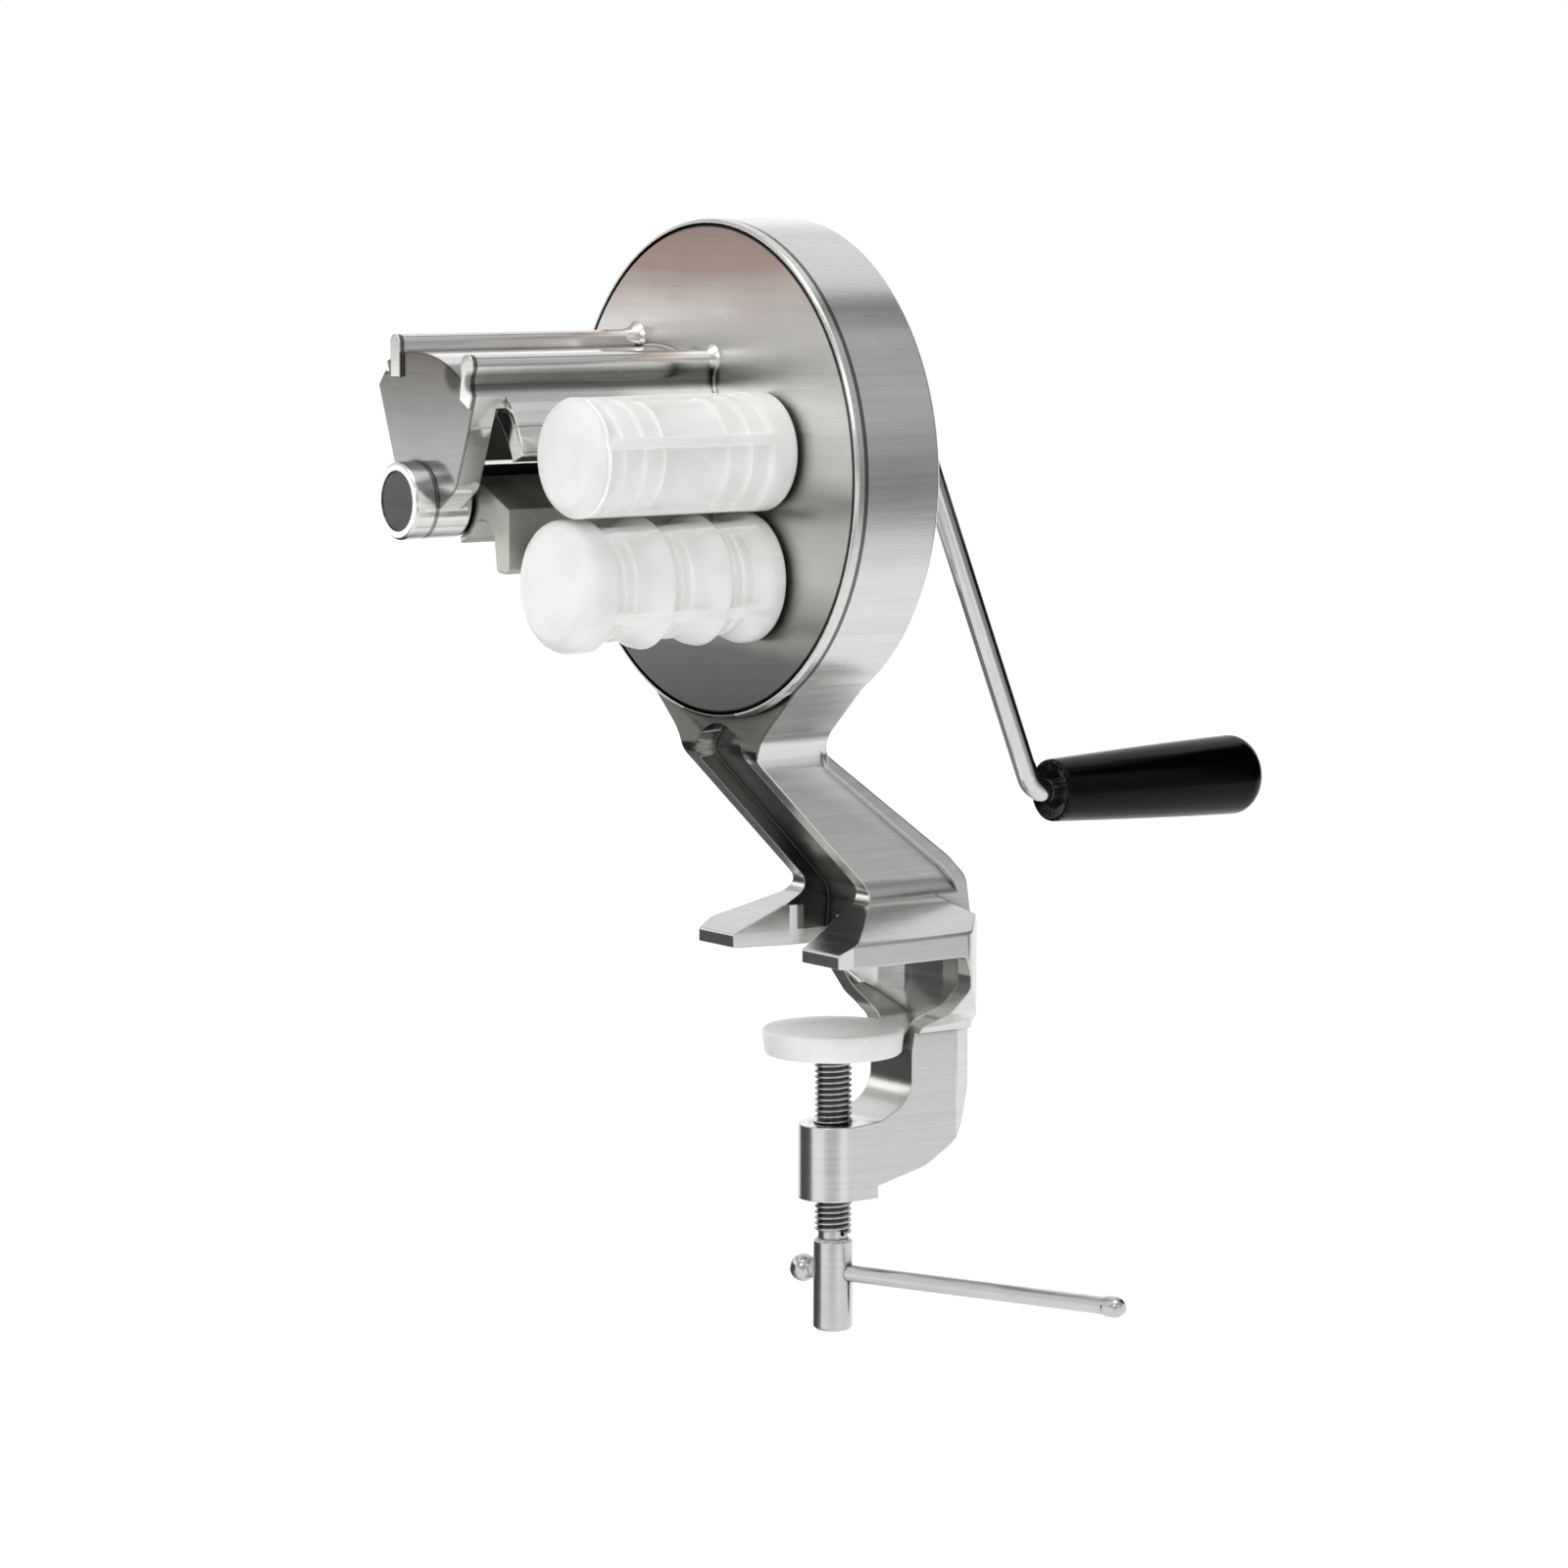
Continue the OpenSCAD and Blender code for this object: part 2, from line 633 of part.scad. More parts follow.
module case_shell() {
    difference() {
        y_turned([0, case_z])
            polygon([
                [0, case_front_y],
                [case_r - edge_cut, case_front_y],
                [case_r, case_front_y + edge_cut],
                [case_r, case_back_y - back_cut],
                [case_r - back_cut, case_back_y],
                [0, case_back_y]
            ]);
        y_rod([0, case_z], case_front_y - over, room_front_y, cover_r + seam_gap);
        difference() {
            y_rod([0, case_z], room_front_y - over, room_back_y, room_r);
            for (a = post_angles)
                y_rod([post_ring_r * cos(a), case_z + post_ring_r * sin(a)],
                    room_front_y, room_back_y + over, post_r);
        }
    }
}

// the main casting: case, neck, arm, upper jaw, spine and lower boss
module main_casting() {
    color("silver")
        difference() {
            union() {
                case_shell();
                difference() {
                    neck_and_clamp();
                    y_rod([0, case_z], case_front_y - over, case_back_y + over, case_r - room_wall / 2);
                    y_rod([0, case_z], case_front_y - over, room_front_y, cover_r + seam_gap);
                    for (side = [0, 1])
                        mirror([side, 0, 0])
                            translate([lip_half, 0, 0])
                                rotate([90, 0, 90])
                                    linear_extrude(jaw_half)
                                        polygon(hip_outline);
                }
            }
            // the channel down the arm and between the prongs
            intersection() {
                across(channel_half)
                    polygon(channel_side);
                along(case_front_y - 2 * over, 0)
                    union() {
                        translate([-channel_half, -2 * over])
                            square([2 * channel_half, arm_top_z + channel_up - channel_half + 2 * over]);
                        translate([0, arm_top_z + channel_up - channel_half])
                            circle(channel_half);
                    }
            }
            translate([0, 0, -over])
                linear_extrude(slot_h + over)
                    polygon(slot_plan);
            // the hollow in the funnel under the jaw
            intersection() {
                along(hollow_front_y, spine_back_y)
                    polygon(hollow_outline);
                translate([0, 0, boss_top_z])
                    linear_extrude(over - boss_top_z)
                        polygon(hollow_plan);
            }
            // bores
            y_rod(upper_axis, room_back_y - over, case_back_y + over, shaft_r + bush_wall);
            y_rod(cutter_axis, room_back_y - over, blind_y, axle_r + bush_wall);
            y_rod(idler_axis, room_back_y - over, blind_y, idler_stud_r);
            translate([0, screw_y, boss_low_z - over])
                cylinder(h = boss_h + 2 * over, r = screw_r + run_gap);
        }
}

// the hood's end wall, seen from the front, as shares of the roof's radius from the cutter axis
wall_shares = [[-0.481, 0.762, 0.027], [-0.254, 0.93, 0.027], [0, 0.989, 0.811], [0.351, 0.941, 0.541],
    [0.741, 0.719, 0.054], [0.481, 0.092, 0.162], [0.259, -0.054, 0], [-0.173, -0.054, 0]];
// the slanting left wall, from the roof's edge down to the rotor, by the same radius
left_wall_shares = [[-0.275, 0.212], [-0.481, 0.762], [-0.4, 0.86], [-0.33, 0.78]];
// the cove under the right rail's bead and its foot on the skirt, by the same radius
cove_shares = [[0.6, 0.93], [0.612, 0.86], [0.59, 0.7], [0.7, 0.64], [0.84, 0.52], [0.79, 0.6],
    [0.745, 0.68], [0.715, 0.77], [0.713, 0.84], [0.745, 0.9]];
// where the roof's arc starts and ends, in degrees round the cutter axis
roof_angles = [46, 112];
// where the skirt's arc starts and ends
skirt_angles = [20, 48];

// the shares scaled to the roof and moved to the cutter axis
function round_cutter(table) = [for (s = table) cutter_axis + roof_r * [s[0], s[1]]];

// outline of the left wall and the way through its thickness, from the outer face inwards
left_wall_outline = round_cutter(left_wall_shares);
left_wall_run = left_wall_outline[1] - left_wall_outline[0];
left_wall_in = [left_wall_run[1], -left_wall_run[0]] / norm(left_wall_run);

module hood() {
    // roof and skirt, both round the cutter axis
    along(hood_end_y, case_front_y + over)
        polygon(concat(
            arc_points(cutter_axis, roof_r, roof_angles[0], roof_angles[1], 28),
            arc_points(cutter_axis, hood_in_r, roof_angles[1], roof_angles[0], 28)
        ));
    along(skirt_end_y, case_front_y + over)
        polygon(concat(
            arc_points(cutter_axis, skirt_r, skirt_angles[0], skirt_angles[1], 14),
            arc_points(cutter_axis, hood_in_r, skirt_angles[1], skirt_angles[0], 14)
        ));
    along(hood_end_y, case_front_y + over)
        polygon(concat(left_wall_outline, [left_wall_outline[0] + left_wall_t * left_wall_in]));
    along(hood_end_y, hood_end_y + end_wall_t)
        translate(cutter_axis)
            polygon(rounded(placed(wall_shares, roof_r, roof_r)));
    // left rail
    along(hood_end_y - rail_past, case_front_y + over)
        translate(cutter_axis)
            union() {
                translate([-left_rail_out - left_rail_r, hood_in_r])
                    square([2 * left_rail_r, roof_r + left_rail_up - hood_in_r]);
                translate([-left_rail_out, roof_r + left_rail_up])
                    circle(left_rail_r);
            }
    // right rail
    along(hood_end_y - rail_past, case_front_y + over)
        union() {
            translate(cutter_axis + [right_rail_out, right_rail_up])
                circle(right_rail_r);
            polygon(round_cutter(cove_shares));
        }
    // bearing boss at the end
    y_turned(cutter_axis)
        polygon([
            [0, hood_end_y - boss_out],
            [boss_front_r - edge_cut, hood_end_y - boss_out],
            [boss_front_r, hood_end_y - boss_out + edge_cut],
            [boss_front_r, skirt_end_y],
            [0, skirt_end_y]
        ]);
}

// the front casting: cover disc, hood, rails and end bearing
module front_casting() {
    color("lightgray")
        difference() {
            union() {
                y_turned([0, case_z])
                    polygon([
                        [0, case_front_y],
                        [cover_r - edge_cut, case_front_y],
                        [cover_r, case_front_y + edge_cut],
                        [cover_r, room_front_y],
                        [0, room_front_y]
                    ]);
                for (axis = [upper_axis, lower_axis, cutter_axis])
                    y_rod(axis, room_front_y - over, room_front_y + inner_boss_h, inner_boss_r);
                hood();
            }
            for (axis = [upper_axis, lower_axis])
                y_rod(axis, case_front_y - over, room_front_y + inner_boss_h + over, shaft_r + bush_wall);
            y_rod(cutter_axis, case_front_y - over, room_front_y + inner_boss_h + over, axle_r + bush_wall);
            y_rod(idler_axis, room_front_y - stud_seat, room_front_y + over, idler_stud_r);
            y_rod(cutter_axis, hood_end_y - boss_out - over, skirt_end_y + over, journal_r + run_gap);
        }
}

// section of the guide block round the cutter axis, as shares of its width
guide_shares = [[0.389, 0.238, 0], [0.992, -0.06, 0.02], [1, -0.71, 0.07], [0.778, -0.683, 0.063],
    [0.73, -0.333, 0.08], [0.516, -0.111, 0.17], [0.27, -0.373, 0.16], [0.115, -0.437, 0]];
// where the cut for the rotor starts and ends on it, in degrees
guide_angles = [-74, 32];
guide_outline = rounded(concat(
    [for (p = arc_points([0, 0], rotor_r + guide_gap, guide_angles[0], guide_angles[1], 24)) [p[0], p[1], 0]],
    placed(guide_shares, guide_w, guide_w)
));

// the guide block between the rollers and the rotor
module guide_block() {
    color("gray")
        along(guide_out_y, case_front_y)
            translate(cutter_axis)
                polygon(guide_outline);
}

// one plain bush with a flange at its low y end
module bush(axis, y0, y1, r, flange) {
    difference() {
        union() {
            y_rod(axis, y0, y1, r + bush_wall);
            if (flange)
                y_rod(axis, y0 - bush_flange_t, y0, r + bush_wall + bush_flange);
        }
        y_rod(axis, y0 - bush_flange_t - over, y1 + over, r + run_gap);
    }
}

module upper_bush() {
    color("goldenrod")
        bush(upper_axis, case_front_y, room_front_y + inner_boss_h, shaft_r, true);
}

module lower_bush() {
    color("goldenrod")
        bush(lower_axis, case_front_y, room_front_y + inner_boss_h, shaft_r, true);
}

module cutter_bush() {
    color("goldenrod")
        bush(cutter_axis, case_front_y, room_front_y + inner_boss_h, axle_r, true);
}

module crank_bush() {
    color("goldenrod")
        bush(upper_axis, room_back_y, case_back_y, shaft_r, false);
}

module cutter_back_bush() {
    color("goldenrod")
        bush(cutter_axis, room_back_y, blind_y, axle_r, false);
}

module idler_stud() {
    color("gray")
        y_rod(idler_axis, room_front_y - stud_seat, blind_y, idler_stud_r);
}

module drive_shaft() {
    color("gray")
        difference() {
            y_rod(upper_axis, shaft_out_y, case_back_y + hub_len, shaft_r);
            // the rod's end sits in the shaft's end
            y_rod(upper_axis, case_back_y, case_back_y + hub_len + over, rod_r);
        }
}

module drive_gear() {
    color("darkgray")
        gear(upper_axis, train_y, drive_teeth, drive_to_idler, shaft_r, true);
}

module upper_gear() {
    color("darkgray")
        gear(upper_axis, pair_y, pair_teeth, upper_to_lower, shaft_r, false);
}

module lower_gear() {
    color("darkgray")
        gear(lower_axis, pair_y, pair_teeth, lower_turn, shaft_r, false);
}

module idler_gear() {
    color("darkgray")
        gear(idler_axis, train_y, idler_teeth, idler_turn, idler_stud_r + run_gap, false);
}

module cutter_pinion() {
    color("darkgray")
        gear(cutter_axis, train_y, pinion_teeth, pinion_turn, axle_r, false);
}

// half outline of a roller body with rounded ends
function roller_outline(r) = rounded([
    [0, roller_out_y - upper_dome, 0],
    [r, roller_out_y, roller_round],
    [r, roller_in_y, roller_in_round],
    [0, roller_in_y, 0]
]);

// where the rollers' first bar starts, in degrees
bar_angle = 12;

// a ring sector that is cut from a roller, between the bars
module roller_cut(axis, r, depth, y0, y1, gaps) {
    for (k = [0:gaps - 1])
        translate([axis[0], 0, axis[1]])
            rotate([-90, 0, 0])
                rotate(360 * k / gaps + bar_angle)
                    rotate_extrude(angle = 360 / gaps - 2 * asin(roller_bar_w / 2 / r))
                        polygon([
                            [r - depth, y0 + groove_slope],
                            [r + over, y0],
                            [r + over, y1],
                            [r - depth, y1 - groove_slope]
                        ]);
}

// places of the grooves in the upper roller, as shares of its length from the outer end
upper_groove_shares = [[0.235, 0.265], [0.305, 0.335], [0.375, 0.405], [0.445, 0.66], [0.70, 0.735],
    [0.775, 0.81], [0.85, 0.885]];

module upper_roller() {
    color("white")
        difference() {
            y_turned(upper_axis)
                polygon(roller_outline(upper_r));
            for (s = upper_groove_shares)
                roller_cut(upper_axis, upper_r, groove_depth,
                    roller_out_y + s[0] * roller_len, roller_out_y + s[1] * roller_len, 4);
            y_rod(upper_axis, shaft_out_y, roller_in_y + over, shaft_r);
        }
}

// lobes of the lower roller, as shares of its length from the outer end
lower_lobe_shares = [[0, 0.28], [0.28, 0.53], [0.53, 0.79], [0.79, 1]];

// the notch between two lobes, as shares of its depth and of its half width, on its outer and inner side
notch_out_shares = [[0, 1], [0.27, 0.5], [1, 0]];
notch_in_shares = [[0.37, 0.42], [0, 1]];

// half outline of the lower roller with a notch between each two lobes
function lobe_outline() = concat(
    [[0, roller_out_y - lower_dome]],
    corner([0, roller_out_y - lower_dome], [lower_r, roller_out_y], [lower_r, roller_in_y], roller_round),
    [for (i = [0:len(lower_lobe_shares) - 2])
        let (y = roller_out_y + lower_lobe_shares[i][1] * roller_len)
        each concat(
            [for (s = notch_out_shares) [lower_r - s[0] * valley_depth, y - s[1] * notch_w]],
            [for (s = notch_in_shares) [lower_r - s[0] * valley_depth, y + s[1] * notch_w]]
        )],
    corner([lower_r, roller_out_y], [lower_r, roller_in_y], [0, roller_in_y], roller_in_round),
    [[0, roller_in_y]]
);

// valleys between the lobes, as shares of the roller's length
lower_valley_shares = [[0.30, 0.325], [0.345, 0.37], [0.39, 0.42], [0.55, 0.66], [0.81, 0.83],
    [0.85, 0.87], [0.89, 0.915]];

module lower_roller() {
    color("white")
        difference() {
            y_turned(lower_axis)
                polygon(lobe_outline());
            for (s = lower_valley_shares)
                roller_cut(lower_axis, lower_r, groove_depth,
                    roller_out_y + s[0] * roller_len, roller_out_y + s[1] * roller_len, 3);
            y_rod(lower_axis, shaft_out_y, roller_in_y + over, shaft_r);
        }
}

module lower_shaft() {
    color("gray")
        y_rod(lower_axis, shaft_out_y, pair_y + gear_t, shaft_r);
}

module cutter_axle() {
    color("dimgray")
        union() {
            y_rod(cutter_axis, hood_end_y - boss_out + end_play, axle_step_y, journal_r);
            y_rod(cutter_axis, axle_step_y - over, blind_y - end_play, axle_r);
        }
}

// where a blade's flank, tip and back lie round the rotor, in degrees
blade_angles = [-34, 62, 80];

// the fluted rotor, with three curved blades
module cutter_rotor() {
    color("silver")
        along(rotor_out_y, case_front_y - bush_flange_t - end_play)
            translate(cutter_axis)
                difference() {
                    union() {
                        circle(rotor_core_r);
                        for (k = [0:2])
                            rotate(120 * k)
                                polygon(concat(
                                    arc_points([0, 0], rotor_r, 0, blade_angles[1], 14),
                                    [rotor_core_r * [cos(blade_angles[2]), sin(blade_angles[2])],
                                        [0, 0],
                                        rotor_core_r * [cos(blade_angles[0]), sin(blade_angles[0])]]
                                ));
                    }
                    circle(axle_r);
                }
}

// a straight piece of rod between two points in y and z, on the crank axis's x
module rod_piece(a, b) {
    d = b - a;
    translate([upper_x, a[0], a[1]])
        rotate([-atan2(d[0], d[1]), 0, 0])
            cylinder(h = norm(d), r = rod_r);
}

// a bend of the rod in the y-z plane, which reaches a little into the straight pieces at its ends
module rod_bend(centre, bend_r, a0, a1) {
    translate([upper_x, centre[0], centre[1]])
        rotate([90, 0, 90])
            rotate(a0 - bend_lap)
                rotate_extrude(angle = a1 - a0 + 2 * bend_lap)
                    translate([bend_r, 0])
                        circle(rod_r - bend_in);
}

module crank_rod() {
    top_tan = bend_top_r * tan((90 - rod_splay) / 2);
    low_tan = bend_low_r * tan((90 - rod_splay) / 2);
    down = [sin(rod_splay), -cos(rod_splay)];
    top = [rod_top_y, upper_z];
    low = [rod_low_y, rod_z];
    color("silver")
        union() {
            rod_piece([case_back_y, upper_z], top - [top_tan, 0]);
            rod_bend([rod_top_y - top_tan, upper_z - bend_top_r], bend_top_r, rod_splay, 90);
            rod_piece(top + top_tan * down, low - low_tan * down);
            rod_bend([rod_low_y + low_tan, rod_z + bend_low_r], bend_low_r, 180 + rod_splay, 270);
            rod_piece(low + [low_tan, 0], [grip_bore_y - end_play, rod_z]);
        }
}

module crank_hub() {
    color("silver")
        y_turned(upper_axis)
            polygon([
                [shaft_r, case_back_y + end_play],
                [hub_r, case_back_y + end_play],
                [hub_r, case_back_y + hub_len - hub_cut],
                [hub_r - hub_cut, case_back_y + hub_len],
                [shaft_r, case_back_y + hub_len]
            ]);
}

// how much of the grip's swell is a straight taper, the rest being a curve
taper_share = 0.62;
// the rounded rim of the grip's inner end, as shares of the countersink's depth
rim_shares = [[0.85, 0], [0.17, 0.25], [0, 0.85]];

module grip() {
    swell = grip_out_r - grip_in_r;
    swell_y = grip_y + grip_sink;
    swell_len = grip_len - grip_round - grip_sink;
    color("black")
        y_turned([upper_x, rod_z])
            polygon(concat(
                [[grip_in_r - grip_lip, grip_y + grip_sink]],
                [for (s = rim_shares) [grip_in_r - s[0] * grip_sink, grip_y + s[1] * grip_sink]],
                [for (i = [0:12])
                    let (t = i / 12)
                    [grip_in_r + swell * (taper_share * t + (1 - taper_share) * sin(90 * t)),
                        swell_y + t * swell_len]],
                [for (i = [1:9])
                    [grip_out_r * cos(10 * i), grip_y + grip_len - grip_round * (1 - sin(10 * i))]],
                [[0, grip_bore_y],
                    [rod_r + run_gap, grip_bore_y],
                    [rod_r + run_gap, grip_y + grip_sink]]
            ));
}

module pressure_pad() {
    ball_sphere = (dish_r * dish_r + dish_depth * dish_depth) / (2 * dish_depth);
    translate([0, screw_y, pad_top_z])
        color("white")
            difference() {
                rotate_extrude()
                    polygon(concat(
                        [[0, -dish_depth]],
                        [for (i = [1:8])
                            let (r = dish_r * i / 8)
                            [r, sqrt(ball_sphere * ball_sphere - dish_r * dish_r)
                                - sqrt(ball_sphere * ball_sphere - r * r)]],
                        [[pad_r - edge_cut, 0],
                            [pad_r, -edge_cut],
                            [pad_r - edge_cut, edge_cut - pad_t],
                            [pad_r - 2 * edge_cut, -pad_t],
                            [0, -pad_t]]
                    ));
                translate([0, 0, -pad_t - over])
                    cylinder(h = pin_seat + over, r = pin_r + run_gap);
            }
}

module clamp_screw() {
    shank_top = pad_top_z - pad_t - run_gap;
    color("silver")
        translate([0, screw_y, 0])
            union() {
                translate([0, 0, head_top_z])
                    cylinder(h = shank_top - head_top_z - screw_cut, r = screw_r);
                translate([0, 0, shank_top - screw_cut])
                    cylinder(h = screw_cut, r1 = screw_r, r2 = screw_r - screw_cut);
                translate([0, 0, shank_top - over])
                    cylinder(h = pin_seat - 2 * run_gap + over, r = pin_r);
            }
}

module screw_head() {
    color("silver")
        difference() {
            translate([0, screw_y, head_top_z - head_len])
                rotate_extrude()
                    polygon([
                        [0, 0],
                        [head_r - screw_cut, 0],
                        [head_r, screw_cut],
                        [head_r, head_len - screw_cut],
                        [head_r - screw_cut, head_len],
                        [0, head_len]
                    ]);
            translate([0, screw_y, bar_z])
                rotate([0, 90, bar_turn])
                    cylinder(h = 4 * head_r, r = bar_r + run_gap, center = true);
        }
}

// the swollen end of the tommy bar, as shares of its swell and of its length
bar_end_shares = [[0, 0], [1, 0.2], [1, 0.63], [0, 0.83], [-2.2, 1]];

module tommy_bar() {
    color("silver")
        translate([0, screw_y, bar_z])
            rotate([0, 0, bar_turn])
                rotate([0, 90, 0])
                    union() {
                        translate([0, 0, -ball_dist])
                            cylinder(h = ball_dist + bar_reach - bar_end_len, r = bar_r);
                        translate([0, 0, bar_reach - bar_end_len])
                            rotate_extrude()
                                polygon(concat(
                                    [[0, 0]],
                                    [for (s = bar_end_shares)
                                        [bar_r + s[0] * bar_swell, s[1] * bar_end_len]],
                                    [[0, bar_end_len]]
                                ));
                    }
}

// the ball is bored for the bar's end, which stops at the ball's middle
module tommy_ball() {
    bore_r = bar_r + bend_in;
    bore_angle = asin(bore_r / ball_r);
    color("silver")
        translate([0, screw_y, bar_z])
            rotate([0, 0, bar_turn])
                translate([-ball_dist, 0, 0])
                    rotate([0, 90, 0])
                        rotate_extrude()
                            polygon(concat(
                                arc_points([0, 0], ball_r, -90, 90 - bore_angle, 28),
                                [[bore_r, -bend_in], [0, -bend_in]]
                            ));
}

main_casting();
front_casting();
guide_block();
upper_bush();
lower_bush();
cutter_bush();
crank_bush();
cutter_back_bush();
idler_stud();
drive_shaft();
drive_gear();
upper_gear();
upper_roller();
crank_rod();
crank_hub();
grip();
lower_shaft();
lower_gear();
lower_roller();
idler_gear();
cutter_axle();
cutter_rotor();
cutter_pinion();
pressure_pad();
clamp_screw();
screw_head();
tommy_bar();
tommy_ball();
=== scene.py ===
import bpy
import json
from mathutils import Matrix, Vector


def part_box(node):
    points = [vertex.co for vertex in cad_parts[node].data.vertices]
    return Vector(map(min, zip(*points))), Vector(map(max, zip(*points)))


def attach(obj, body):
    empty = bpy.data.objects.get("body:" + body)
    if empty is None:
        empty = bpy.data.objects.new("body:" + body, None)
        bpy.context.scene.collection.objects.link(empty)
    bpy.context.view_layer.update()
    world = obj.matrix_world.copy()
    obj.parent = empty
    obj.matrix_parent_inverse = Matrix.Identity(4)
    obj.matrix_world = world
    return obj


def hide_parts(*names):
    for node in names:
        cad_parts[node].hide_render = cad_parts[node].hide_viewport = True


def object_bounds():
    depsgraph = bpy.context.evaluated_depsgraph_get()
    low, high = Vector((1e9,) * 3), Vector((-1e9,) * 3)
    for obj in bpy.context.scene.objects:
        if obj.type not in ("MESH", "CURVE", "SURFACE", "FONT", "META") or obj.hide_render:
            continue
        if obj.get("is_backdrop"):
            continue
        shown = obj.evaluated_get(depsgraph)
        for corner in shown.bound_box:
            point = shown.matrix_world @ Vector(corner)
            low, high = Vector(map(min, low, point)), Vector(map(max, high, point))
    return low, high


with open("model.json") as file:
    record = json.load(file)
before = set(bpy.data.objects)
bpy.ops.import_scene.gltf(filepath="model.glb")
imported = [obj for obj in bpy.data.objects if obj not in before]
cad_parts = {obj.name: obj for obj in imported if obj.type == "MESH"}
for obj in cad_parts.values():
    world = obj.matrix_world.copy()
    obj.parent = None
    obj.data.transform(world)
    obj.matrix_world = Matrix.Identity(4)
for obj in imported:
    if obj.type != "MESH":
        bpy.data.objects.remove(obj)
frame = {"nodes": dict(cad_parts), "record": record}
low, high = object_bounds()

# %% [markdown]
# # A table clamped pasta roller, dressed for a catalogue picture
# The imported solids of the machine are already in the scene, in metres, and none of them is moved. Each gets
# its real finish on a smooth copy. The rollers and the clamp screw are modelled again in more detail, and
# what the solids leave out is added: the cast roots of the hood and the slotted case screws.

# %% Tools
import json
import math
import bpy
from mathutils import Matrix, Vector

MM = 0.001
nodes = frame["nodes"]
print(len(nodes), "solids loaded, overall size in mm:", [round(side / MM) for side in high - low])

# %% [markdown]
# ## Camera
# The photograph was taken with a long lens, a little above the machine and well round to its right.
# A new camera is turned to that direction with a track quaternion: it looks along its own -Z, with +Y up.

# %% Camera
CAMERA_TURN, CAMERA_RISE = math.radians(54.3), math.radians(6.8)
CAMERA_PLACE = Vector((1.0672, -0.7932, 0.2011))
view_back = Vector((math.sin(CAMERA_TURN) * math.cos(CAMERA_RISE),
                    -math.cos(CAMERA_TURN) * math.cos(CAMERA_RISE),
                    math.sin(CAMERA_RISE)))
camera_data = bpy.data.cameras.new("catalogue_camera")
camera_data.lens = 117.36
camera_data.sensor_width = 36
camera = bpy.data.objects.new("catalogue_camera", camera_data)
bpy.context.scene.collection.objects.link(camera)
camera.location = CAMERA_PLACE
camera.rotation_mode = "QUATERNION"
camera.rotation_quaternion = (-view_back).to_track_quat("-Z", "Y")
bpy.context.scene.camera = camera
bpy.context.scene.view_settings.view_transform = "Standard"
print("camera is", round((CAMERA_PLACE - (low + high) / 2).length, 2), "m from the machine")

# %% [markdown]
# ## Helpers for materials
# A colour is written as an sRGB hex value, as paint programs show it. Blender's sockets want
# linear light, so one function turns it. A second one adds a node, sets it up and links it.

# %% Colour and node helpers
def paint(hex_value):
    """Turns an sRGB hex value such as "c8c8c6" into a linear colour with full alpha."""
    steps = [int(hex_value[i:i + 2], 16) / 255 for i in (0, 2, 4)]
    return tuple(v / 12.92 if v <= 0.04045 else ((v + 0.055) / 1.055) ** 2.4 for v in steps) + (1.0,)


def add(tree, kind, sockets=None, **settings):
    """Adds one node: settings are its own properties, sockets hold a value or the socket that feeds them."""
    node = tree.nodes.new("ShaderNode" + kind)
    for name, value in settings.items():
        setattr(node, name, value)
    for name, value in (sockets or {}).items():
        if isinstance(value, bpy.types.NodeSocket):
            tree.links.new(value, node.inputs[name])
        else:
            node.inputs[name].default_value = value
    return node


def new_material(name):
    """Starts a material with an empty tree and its output, and returns the material, tree and output."""
    material = bpy.data.materials.new(name)
    material.use_nodes = True
    material.node_tree.nodes.clear()
    return material, material.node_tree, add(material.node_tree, "OutputMaterial")


print("mid gray is", round(paint("808080")[0], 3), "in linear light")

# %% [markdown]
# ## Helpers for patterns
# A tone or a grain could be painted on an image, but then it has only as many dots as the image. Here it is
# built from small steps instead: a ramp turns a height or a distance into a colour, a mask is 1 on one face
# of a casting and 0 elsewhere, and colours are laid over each other by blending or multiplying them.

# %% Pattern helpers
FACE_REACH = 0.6 * MM    # how far off its plane a point still counts as part of a face


def ramp_of(tree, value, stops):
    """Turns a value into a colour, by stops of [value, sRGB hex] in rising order."""
    first, last = stops[0][0], stops[-1][0]
    share = add(tree, "MapRange", {"Value": value, "From Min": first, "From Max": last})
    ramp = add(tree, "ValToRGB", {"Fac": share.outputs["Result"]})
    while len(ramp.color_ramp.elements) < len(stops):
        ramp.color_ramp.elements.new(0.5)
    # all elements get their places before the first gets its colour, so that none can change places later
    for element, stop in zip(ramp.color_ramp.elements, stops):
        element.position = (stop[0] - first) / (last - first)
    for element, stop in zip(ramp.color_ramp.elements, stops):
        element.color = paint(stop[1])
    return ramp.outputs["Color"]


def near(tree, value, middle, reach=FACE_REACH):
    """Gives 1 where a value lies within a reach of a middle, and 0 elsewhere."""
    return add(tree, "Math", {0: value, 1: middle, 2: reach}, operation="COMPARE").outputs["Value"]


def from_line(tree, place, x, z):
    """Gives the distance from a line that runs along Y through (x, z)."""
    along = add(tree, "SeparateXYZ", {0: place}).outputs["Y"]
    beside = add(tree, "CombineXYZ", {"X": x, "Y": along, "Z": z}).outputs["Vector"]
    return add(tree, "VectorMath", {0: place, 1: beside}, operation="DISTANCE").outputs["Value"]


def blend(tree, mask, outside, inside):
    """Gives one colour where a mask is 0 and another where it is 1."""
    return add(tree, "Mix", {"Factor": mask, 6: outside, 7: inside}, data_type="RGBA").outputs[2]


def times(tree, one, other):
    """Multiplies two colours."""
    product = add(tree, "Mix", {"Factor": 1.0, 6: one, 7: other}, data_type="RGBA", blend_type="MULTIPLY")
    return product.outputs[2]


print("faces are told apart within", round(FACE_REACH / MM, 2), "mm")
